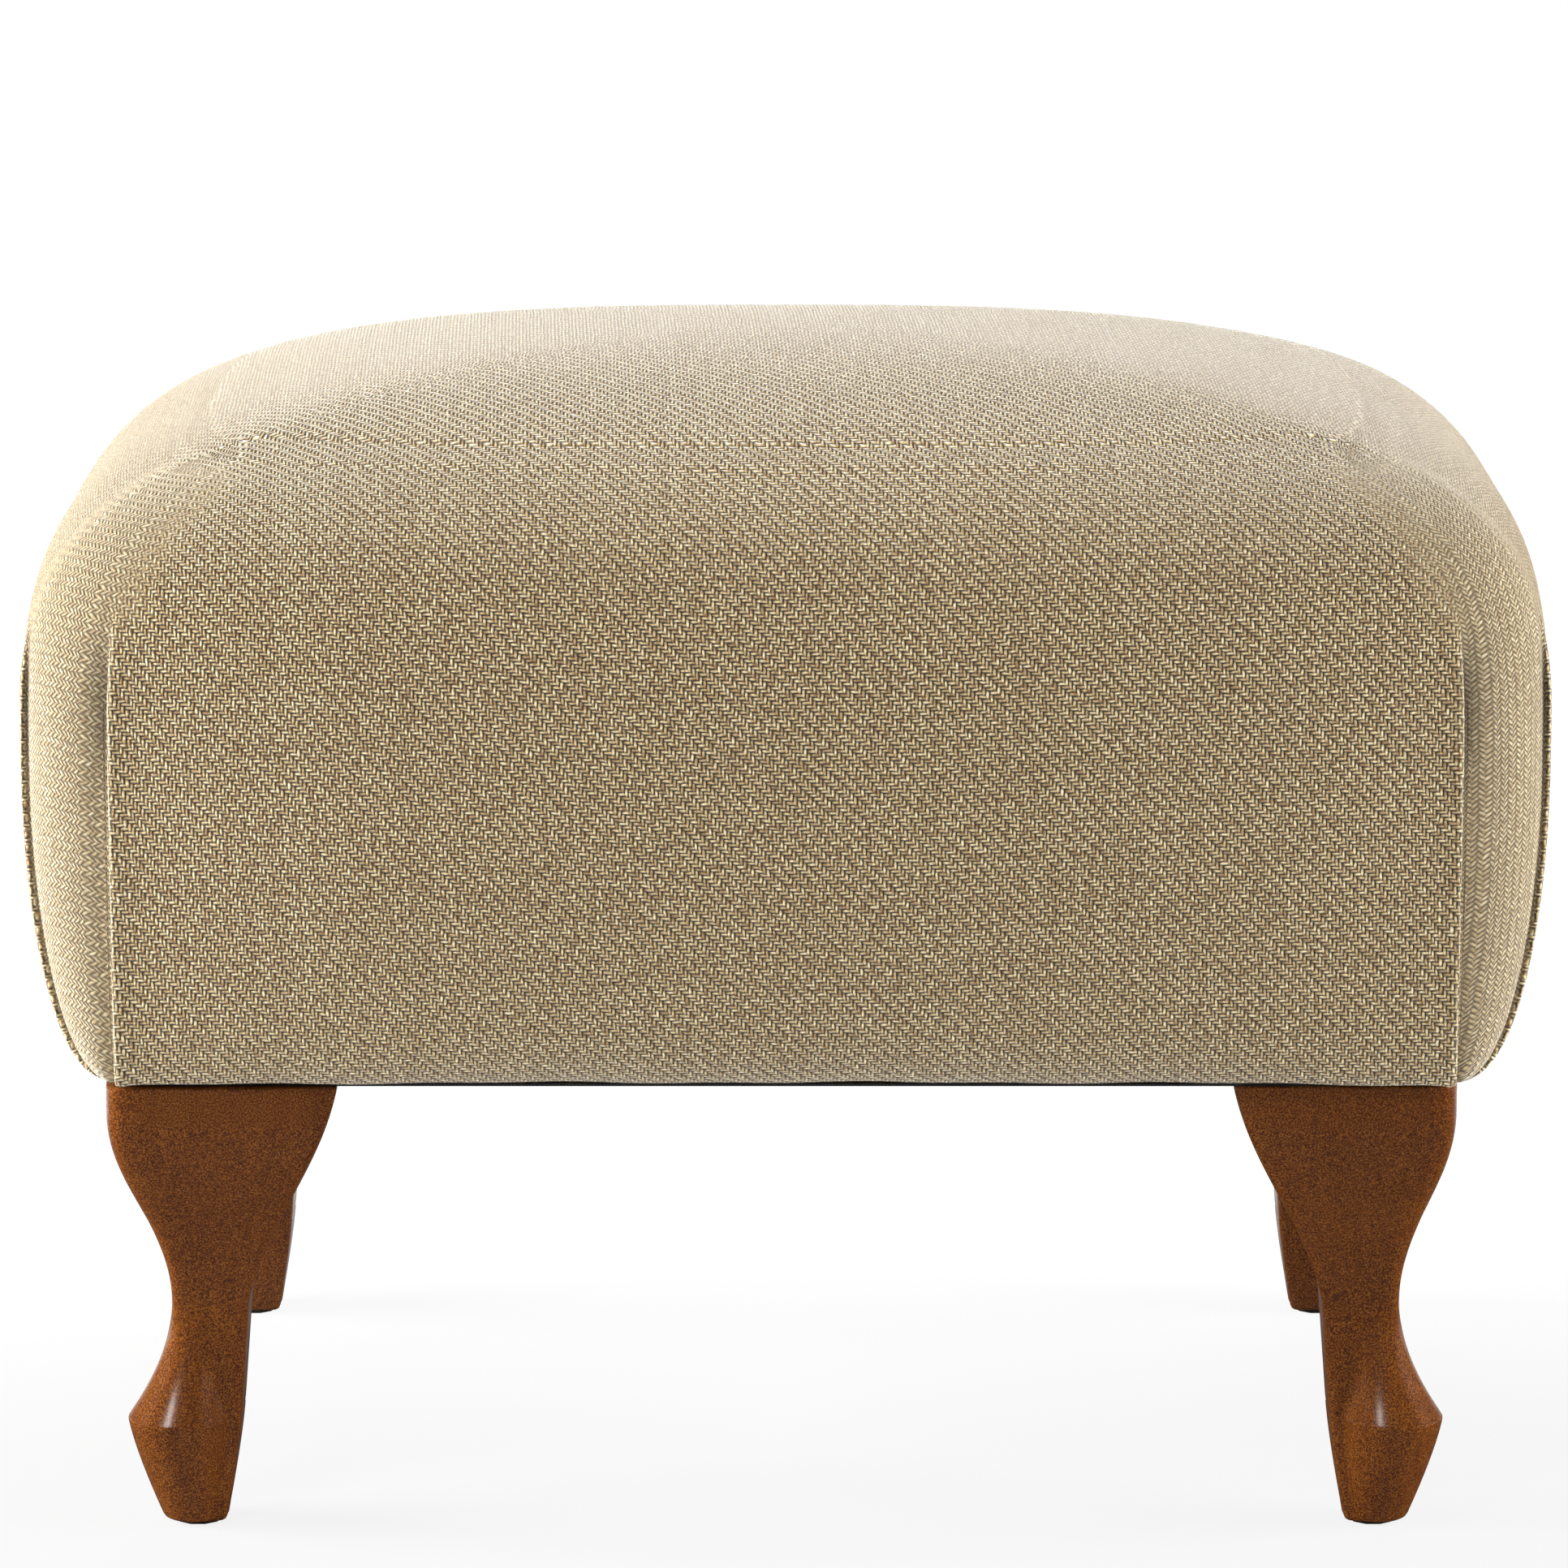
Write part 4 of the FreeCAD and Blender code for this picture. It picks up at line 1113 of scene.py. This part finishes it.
def lacquered_walnut(settings):
    """Walnut stain under satin lacquer: a dark speckle of pores on faint upright grain, and a soft gloss."""
    grain_width = 6.0 * MM
    pore_width = 0.5 * MM
    cloud_width = 45.0 * MM
    pore_depth = 0.2 * MM
    grain_share, cloud_share, middle_share = 0.15, 0.1, 0.37
    material, tree = new_material("lacquered_walnut")
    places = object_places(tree)
    upright = add_node(tree, "ShaderNodeMapping", Vector=places, Scale=(1.0, 1.0, 0.12))
    grain, pores, cloud = [
        add_node(
            tree, "ShaderNodeTexNoise", Vector=place, Scale=1 / width, Detail=detail, Distortion=distortion,
        )
        for place, width, detail, distortion in (
            (upright, grain_width, 4.0, 0.6), (places, pore_width, 0.0, 0.0), (places, cloud_width, 1.0, 0.0),
        )
    ]
    tone = add_node(tree, MATHS, cloud, cloud_share, operation="MULTIPLY")
    tone = add_node(tree, MATHS, grain, grain_share, tone, operation="MULTIPLY_ADD")
    tone = add_node(tree, MATHS, tone, middle_share, operation="ADD")
    speckle = add_node(tree, MATHS, pores, 0.5, operation="SUBTRACT")
    tone = add_node(tree, MATHS, speckle, tone, operation="ADD")
    stain = add_node(tree, "ShaderNodeValToRGB", tone, stops=(
        (0.30, settings.wood_dark), (0.5, settings.wood_base), (0.72, settings.wood_light),
    ))
    relief = add_node(tree, "ShaderNodeBump", Height=pores, Strength=0.10, Distance=pore_depth)
    return surfaced(
        material, Base_Color=stain, Normal=relief, Roughness=0.45, Specular_IOR_Level=0.05,
        Coat_Weight=0.6, Coat_Roughness=0.24,
    )


def sawn_wood(name, pale, dark):
    """Bare sawn timber: straight grain with rough saw marks."""
    grain_width = 3.0 * MM
    mark_depth = 0.4 * MM
    material, tree = new_material(name)
    places = object_places(tree)
    along = add_node(tree, "ShaderNodeMapping", Vector=places, Scale=(0.1, 0.1, 1.0))
    grain = add_node(tree, "ShaderNodeTexNoise", Vector=along, Scale=1 / grain_width, Detail=4.0)
    colour = add_node(tree, "ShaderNodeValToRGB", grain, stops=((0.3, linear(dark)), (0.65, linear(pale))))
    relief = add_node(tree, "ShaderNodeBump", Height=grain, Strength=0.3, Distance=mark_depth)
    return surfaced(material, Base_Color=colour, Normal=relief, Roughness=0.75)


def plated_steel(name, hex_colour, roughness):
    """Zinc-plated or galvanised steel: bright, with a fine crystalline mottle."""
    crystal_width = 1.5 * MM
    smoother, rougher = 0.08, 0.12
    material, tree = new_material(name)
    places = object_places(tree)
    mottle = add_node(tree, "ShaderNodeTexNoise", Vector=places, Scale=1 / crystal_width, Detail=2.0)
    shine = add_node(
        tree, "ShaderNodeMapRange", Value=mottle, To_Min=roughness - smoother, To_Max=roughness + rougher,
    )
    tones = ((0.0, linear("#8c8c88")), (1.0, linear(hex_colour)))
    colour = add_node(tree, "ShaderNodeValToRGB", mottle, stops=tones)
    return surfaced(material, Base_Color=colour, Roughness=shine, Metallic=1.0)


def plain_weave(name, pale, dark, pitch, strength):
    """Plain-woven cloth: yarns over and under each other in both directions."""
    yarn_depth = 0.4 * MM
    flecks_to_yarn = 0.25
    fleck_share, height_share = 0.6, 0.5
    material, tree = new_material(name)
    places = object_places(tree)
    parts = add_node(tree, "ShaderNodeSeparateXYZ", places).outputs
    waves = []
    for wave in (parts["X"], parts["Y"]):
        for step, *terms in (("MULTIPLY", math.pi / pitch), ("SINE",), ("ABSOLUTE",)):
            wave = add_node(tree, MATHS, wave, *terms, operation=step)
        waves.append(wave)
    height = add_node(tree, MATHS, *waves, operation="MULTIPLY")
    fleck = add_node(tree, "ShaderNodeTexNoise", Vector=places, Scale=flecks_to_yarn / pitch, Detail=3.0)
    # The low places between the yarns are painted darker, as shade, and flecks vary the tone
    tone = add_node(tree, MATHS, height, height_share, operation="MULTIPLY")
    tone = add_node(tree, MATHS, fleck, fleck_share, tone, operation="MULTIPLY_ADD")
    colour = add_node(tree, "ShaderNodeValToRGB", tone, stops=((0.2, linear(dark)), (0.7, linear(pale))))
    relief = add_node(tree, "ShaderNodeBump", Height=height, Strength=strength, Distance=yarn_depth)
    return surfaced(material, Base_Color=colour, Normal=relief, Roughness=0.95)


def soft_filling(name, pale, dark, grit):
    """Foam or fibre: pale, soft and full of small hollows."""
    hollow_depth = 0.5 * MM
    material, tree = new_material(name)
    places = object_places(tree)
    cells = add_node(tree, "ShaderNodeTexVoronoi", Vector=places, Scale=1 / grit)
    # The hollows are painted darker, as shade in them
    colour = add_node(tree, "ShaderNodeValToRGB", cells, stops=((0.0, linear(dark)), (0.45, linear(pale))))
    relief = add_node(tree, "ShaderNodeBump", Height=cells, Strength=0.4, Distance=hollow_depth)
    return surfaced(material, Base_Color=colour, Normal=relief, Roughness=1.0)


def moulded_nylon():
    """Moulded nylon: dark brown with a fine matte grain."""
    grain_width = 0.6 * MM
    grain_depth = 0.2 * MM
    material, tree = new_material("moulded_nylon")
    places = object_places(tree)
    grain = add_node(tree, "ShaderNodeTexNoise", Vector=places, Scale=1 / grain_width, Detail=2.0)
    tones = ((0.0, linear("#1c1713")), (1.0, linear("#332a23")))
    colour = add_node(tree, "ShaderNodeValToRGB", grain, stops=tones)
    relief = add_node(tree, "ShaderNodeBump", Height=grain, Strength=0.2, Distance=grain_depth)
    return surfaced(material, Base_Color=colour, Normal=relief, Roughness=0.5)


# Finishes on the frame's own nodes


def give_material(piece, material):
    """One material all over a piece."""
    piece.data.materials.clear()
    piece.data.materials.append(material)


def finish_frame_nodes():
    """Material by the record's slot for every node that stays as it is."""
    jute_pitch, hessian_pitch, cambric_pitch, lining_pitch = 2.4 * MM, 1.8 * MM, 1.1 * MM, 1.2 * MM
    foam_grit = 1.2 * MM
    finishes = {
        "frame_wood": sawn_wood("sawn_poplar", "#d9bd8c", "#b08f5e"),
        "dowel_wood": sawn_wood("beech_dowel", "#e0c193", "#bd9865"),
        "walnut": sawn_wood("walnut_core", "#86522a", "#41220f"),
        "zinc_steel": plated_steel("zinc_plated_steel", "#dcdedd", 0.30),
        "staple_wire": plated_steel("galvanised_wire", "#c9cac8", 0.34),
        "glide_nylon": moulded_nylon(),
        "jute_webbing": plain_weave("jute_webbing", "#b89865", "#6d5431", jute_pitch, 0.6),
        "hessian": plain_weave("hessian", "#b99c6c", "#5f4a2c", hessian_pitch, 0.6),
        "black_cambric": plain_weave("black_cambric", "#26262a", "#0d0d0f", cambric_pitch, 0.35),
        "foam": soft_filling("polyurethane_foam", "#efe6c4", "#cdbf92", foam_grit),
        "wadding": soft_filling("polyester_wadding", "#f4f3ef", "#d5d3cc", FIBRE_GRIT),
        "linen_twill": plain_weave("linen_lining", "#b7a37c", "#7d6848", lining_pitch, 0.4),
    }
    for part in frame["record"]["subparts"]:
        give_material(frame["nodes"][part["node"]], finishes[part["material_slot"]])
    return finishes


# Staples through the dust cover


def staple_places(node):
    """Middle, direction, width and leg of each separate staple of a node."""
    weld = 0.01 * MM
    shape = bmesh.new()
    shape.from_mesh(frame["nodes"][node].data)
    bmesh.ops.remove_doubles(shape, verts=shape.verts, dist=weld)
    waiting = set(shape.verts)
    places = []
    while waiting:
        group = [waiting.pop()]
        for vert in group:
            for edge in vert.link_edges:
                other = edge.other_vert(vert)
                if other in waiting:
                    waiting.remove(other)
                    group.append(other)
        low = Vector([min(vert.co[axis] for vert in group) for axis in range(3)])
        high = Vector([max(vert.co[axis] for vert in group) for axis in range(3)])
        size = high - low
        centre = (low + high) / 2
        centre.z = low.z
        places.append((centre, 0.0 if size.x > size.y else math.pi / 2, max(size.x, size.y), size.z))
    shape.free()
    return sorted(places, key=lambda place: (round(place[0].y, 4), round(place[0].x, 4)))


def staple_tree(material):
    """Geometry nodes that bend round wire into a staple and set one at every point."""
    tree = bpy.data.node_groups.new("staple_row", "GeometryNodeTree")
    tree.interface.new_socket("Geometry", in_out="INPUT", socket_type="NodeSocketGeometry")
    for name, default in (("Width", 11 * MM), ("Leg", 8 * MM), ("Wire", 0.7 * MM)):
        socket = tree.interface.new_socket(name, in_out="INPUT", socket_type="NodeSocketFloat")
        socket.default_value = default
        socket.subtype = "DISTANCE"
    tree.interface.new_socket("Geometry", in_out="OUTPUT", socket_type="NodeSocketGeometry")
    source = add_node(tree, "NodeGroupInput").outputs
    level = add_node(tree, MATHS, source["Wire"], 0.5, operation="MULTIPLY")
    half = add_node(tree, MATHS, source["Width"], 0.5, operation="MULTIPLY")
    right = add_node(tree, MATHS, half, level, operation="SUBTRACT")
    left = add_node(tree, MATHS, right, -1.0, operation="MULTIPLY")
    rise = add_node(tree, MATHS, source["Leg"], level, operation="SUBTRACT")
    rise = add_node(tree, "ShaderNodeCombineXYZ", Z=rise)
    corners = [add_node(tree, "ShaderNodeCombineXYZ", X=side, Z=level) for side in (left, right)]
    wires = [add_node(tree, "GeometryNodeCurvePrimitiveLine", Start=corners[0], End=corners[1])]
    for corner in corners:
        tip = add_node(tree, "ShaderNodeVectorMath", corner, rise, operation="ADD")
        wires.append(add_node(tree, "GeometryNodeCurvePrimitiveLine", Start=corner, End=tip))
    joined = add_node(tree, "GeometryNodeJoinGeometry")
    for wire in wires:
        fill_sockets(tree, joined, {"Geometry": wire})
    section = add_node(tree, "GeometryNodeCurvePrimitiveCircle", Radius=level, Resolution=8)
    bent = add_node(tree, "GeometryNodeCurveToMesh", Curve=joined, Profile_Curve=section, Fill_Caps=True)
    turn = add_node(tree, "GeometryNodeInputNamedAttribute", Name="turn", data_type="FLOAT_VECTOR")
    placed = add_node(
        tree, "GeometryNodeInstanceOnPoints", Points=source["Geometry"], Instance=bent, Rotation=turn,
    )
    real = add_node(tree, "GeometryNodeRealizeInstances", Geometry=placed)
    shaded = add_node(tree, "GeometryNodeSetMaterial", Geometry=real, Material=material)
    add_node(tree, "NodeGroupOutput", Geometry=shaded)
    return tree


def make_staples(material):
    """Round-wire staples in place of the dust cover's plain ones."""
    places = staple_places("dust_cover_staples")
    points = bpy.data.meshes.new("staple_points")
    points.from_pydata([tuple(place[0]) for place in places], [], [])
    turns = points.attributes.new("turn", "FLOAT_VECTOR", "POINT")
    for item, place in zip(turns.data, places):
        item.vector = (0.0, 0.0, place[1])
    carrier = bpy.data.objects.new("staple_points", points)
    bpy.context.scene.collection.objects.link(carrier)
    tree = staple_tree(material)
    modifier = carrier.modifiers.new("staples", "NODES")
    modifier.node_group = tree
    names = {item.name: item.identifier for item in tree.interface.items_tree if item.in_out == "INPUT"}
    modifier[names["Width"]], modifier[names["Leg"]] = places[0][2:]
    shown = carrier.evaluated_get(bpy.context.evaluated_depsgraph_get())
    mesh = bpy.data.meshes.new_from_object(shown)
    carrier.modifiers.remove(modifier)
    bpy.data.objects.remove(carrier)
    return add_piece("dust_cover_wire_staples", mesh)


# Operators


class FOOTSTOOL_OT_frame_finishes(bpy.types.Operator):
    """Give every node that stays its own finish"""

    bl_idname = "footstool.frame_finishes"
    bl_label = "Frame finishes"

    def execute(self, context):
        finish_frame_nodes()
        return {"FINISHED"}


class FOOTSTOOL_OT_seat_cover(bpy.types.Operator):
    """Make the pleated twill cover over the padded seat"""

    bl_idname = "footstool.seat_cover"
    bl_label = "Seat cover"

    def execute(self, context):
        settings = context.scene.footstool_seat
        cover, wadding = make_seat(settings)
        give_material(cover, linen_twill(settings))
        add_subdivision(cover, 1)
        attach(cover, "root")
        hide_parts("cover")
        give_material(wadding, soft_filling("polyester_fibre", "#f4f3ef", "#d5d3cc", FIBRE_GRIT))
        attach(wadding, "root")
        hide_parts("wadding")
        return {"FINISHED"}


class FOOTSTOOL_OT_legs(bpy.types.Operator):
    """Make the four cabriole legs"""

    bl_idname = "footstool.legs"
    bl_label = "Legs"

    def execute(self, context):
        settings = context.scene.footstool_legs
        walnut = lacquered_walnut(settings)
        for name in CORNERS:
            leg = make_leg(name, settings)
            give_material(leg, walnut)
            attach(leg, "root")
            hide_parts("leg_" + name)
        return {"FINISHED"}


class FOOTSTOOL_OT_staples(bpy.types.Operator):
    """Make the wire staples round the dust cover"""

    bl_idname = "footstool.staples"
    bl_label = "Staples"

    def execute(self, context):
        wire = plated_steel("staple_wire_round", "#c9cac8", 0.34)
        staples = make_staples(wire)
        give_material(staples, wire)
        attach(staples, "root")
        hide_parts("dust_cover_staples")
        return {"FINISHED"}


def soft_light(name, place, target, size, power, glints):
    """A large soft lamp that faces a point, with or without a glint of its own on glossy pieces."""
    lamp = bpy.data.lights.new(name, "AREA")
    lamp.shape = "RECTANGLE"
    lamp.size, lamp.size_y = size
    lamp.energy = power
    holder = bpy.data.objects.new(name, lamp)
    holder.location = place
    holder.rotation_euler = (Vector(target) - Vector(place)).to_track_quat("-Z", "Y").to_euler()
    holder.visible_glossy = glints
    bpy.context.scene.collection.objects.link(holder)


def seen_by_ray(tree, plain, mirrored, straight):
    """One shader for plain rays, one for those of glossy pieces and one for the camera's."""
    rays = add_node(tree, "ShaderNodeLightPath").outputs
    lit = add_node(tree, "ShaderNodeMixShader", rays["Is Glossy Ray"], plain, mirrored)
    return add_node(tree, "ShaderNodeMixShader", rays["Is Camera Ray"], lit, straight)


def white_floor():
    """White sweep that shows only a faint shadow and a glow to the camera painted darker in front as shade,
    and that is darker in front where glossy pieces mirror it.
    """
    material, tree = new_material("white_sweep")
    places = object_places(tree)
    place = add_node(tree, "ShaderNodeSeparateXYZ", places).outputs["Y"]
    # The camera's glow runs from 0.855 in front to 1.0 behind, painted shade on the floor in front; the floor
    # that glossy rays see runs from 0.04 to 0.8
    glow_with_painted_shade, mirrored = [
        add_node(
            tree, "ShaderNodeMapRange", Value=place, interpolation_type="SMOOTHSTEP",
            From_Min=front, From_Max=rear, To_Min=front_share, To_Max=rear_share,
        )
        for front, rear, front_share, rear_share in ((-0.1, 0.4, 0.855, 1.0), (0.0, 0.5, 0.04, 0.8))
    ]
    paint, thin_paint, dim_paint = [
        add_node(tree, "ShaderNodeBsdfDiffuse", Color=colour)
        for colour in ((0.8, 0.8, 0.8, 1.0), (0.05, 0.05, 0.05, 1.0), mirrored)
    ]
    glow = add_node(tree, "ShaderNodeEmission", Color=(1.0, 1.0, 1.0, 1.0), Strength=glow_with_painted_shade)
    seen = add_node(tree, "ShaderNodeAddShader", thin_paint, glow)
    add_node(tree, "ShaderNodeOutputMaterial", Surface=seen_by_ray(tree, paint, dim_paint, seen))
    return material


def white_world(strength):
    """White to the camera and a soft even light to the stool."""
    mirrored_strength = 0.25
    warm, white = (1.0, 0.99, 0.97, 1.0), (1.0, 1.0, 1.0, 1.0)
    world = bpy.data.worlds.new("studio")
    tree = emptied_tree(world)
    skies = [
        add_node(tree, "ShaderNodeBackground", Color=colour, Strength=power)
        for colour, power in ((warm, strength), (warm, mirrored_strength), (white, 1.0))
    ]
    add_node(tree, "ShaderNodeOutputWorld", Surface=seen_by_ray(tree, *skies))
    bpy.context.scene.world = world


class FOOTSTOOL_OT_stage(bpy.types.Operator):
    """Make the camera, the lights and the white floor"""

    bl_idname = "footstool.stage"
    bl_label = "Stage"

    def execute(self, context):
        settings = context.scene.footstool_stage
        scene = context.scene
        lens = bpy.data.cameras.new("camera")
        lens.lens = settings.lens
        lens.sensor_width = 36.0
        camera = bpy.data.objects.new("camera", lens)
        camera_left = 0.5 * MM
        camera.location = (-camera_left, -settings.camera_back, settings.camera_height)
        camera.rotation_euler = Euler((math.radians(90) - settings.camera_pitch, 0.0, 0.0))
        scene.collection.objects.link(camera)
        scene.camera = camera
        middle = (0.0, 0.0, 0.25)
        for name, place, size, power, glints in (
            ("left_softbox", (-2.2, -0.04, 0.8), (1.3, 1.3), settings.left_power, False),
            ("right_softbox", (2.2, -0.16, 0.8), (1.3, 1.3), settings.right_power, False),
            ("gloss_softbox", (-1.05, -1.6, 2.0), (0.45, 0.45), settings.gloss_power, True),
            ("back_softbox", (0.1, 2.1, 0.72), (1.5, 0.6), settings.back_power, True),
            ("front_softbox", (0.0, -2.5, 1.2), (2.0, 1.0), settings.front_power, False),
        ):
            soft_light(name, place, middle, size, power, glints)
        half_floor = 12.0
        shape = bmesh.new()
        bmesh.ops.create_grid(shape, x_segments=2, y_segments=2, size=half_floor)
        mesh = bpy.data.meshes.new("floor")
        shape.to_mesh(mesh)
        shape.free()
        floor = add_piece("floor", mesh, smooth=False)
        give_material(floor, white_floor())
        white_world(settings.fill_strength)
        scene.view_settings.view_transform = "Standard"
        return {"FINISHED"}


class FOOTSTOOL_PT_panel(bpy.types.Panel):
    """Footstool tools"""

    bl_idname = "FOOTSTOOL_PT_panel"
    bl_label = "Footstool"
    bl_space_type = "VIEW_3D"
    bl_region_type = "UI"
    bl_category = "Footstool"

    def draw(self, context):
        for operator in OPERATORS:
            self.layout.operator(operator.bl_idname)
        for group in GROUPS:
            settings = getattr(context.scene, group)
            box = self.layout.box()
            for name in settings.__annotations__:
                box.prop(settings, name)


OPERATORS = (
    FOOTSTOOL_OT_frame_finishes,
    FOOTSTOOL_OT_seat_cover,
    FOOTSTOOL_OT_legs,
    FOOTSTOOL_OT_staples,
    FOOTSTOOL_OT_stage,
)
GROUPS = {
    "footstool_seat": SeatSettings,
    "footstool_legs": LegSettings,
    "footstool_stage": StageSettings,
}


def register():
    """Register the settings, the operators and the panel."""
    for name, group in GROUPS.items():
        bpy.utils.register_class(group)
        setattr(bpy.types.Scene, name, bpy.props.PointerProperty(type=group))
    for operator in OPERATORS:
        bpy.utils.register_class(operator)
    bpy.utils.register_class(FOOTSTOOL_PT_panel)


def unregister():
    """Take everything back out."""
    bpy.utils.unregister_class(FOOTSTOOL_PT_panel)
    for operator in reversed(OPERATORS):
        bpy.utils.unregister_class(operator)
    for name, group in GROUPS.items():
        delattr(bpy.types.Scene, name)
        bpy.utils.unregister_class(group)


def main():
    """Build the whole scene in order."""
    register()
    bpy.ops.footstool.frame_finishes()
    bpy.ops.footstool.seat_cover()
    bpy.ops.footstool.legs()
    bpy.ops.footstool.staples()
    bpy.ops.footstool.stage()


if __name__ == "__main__":
    main()
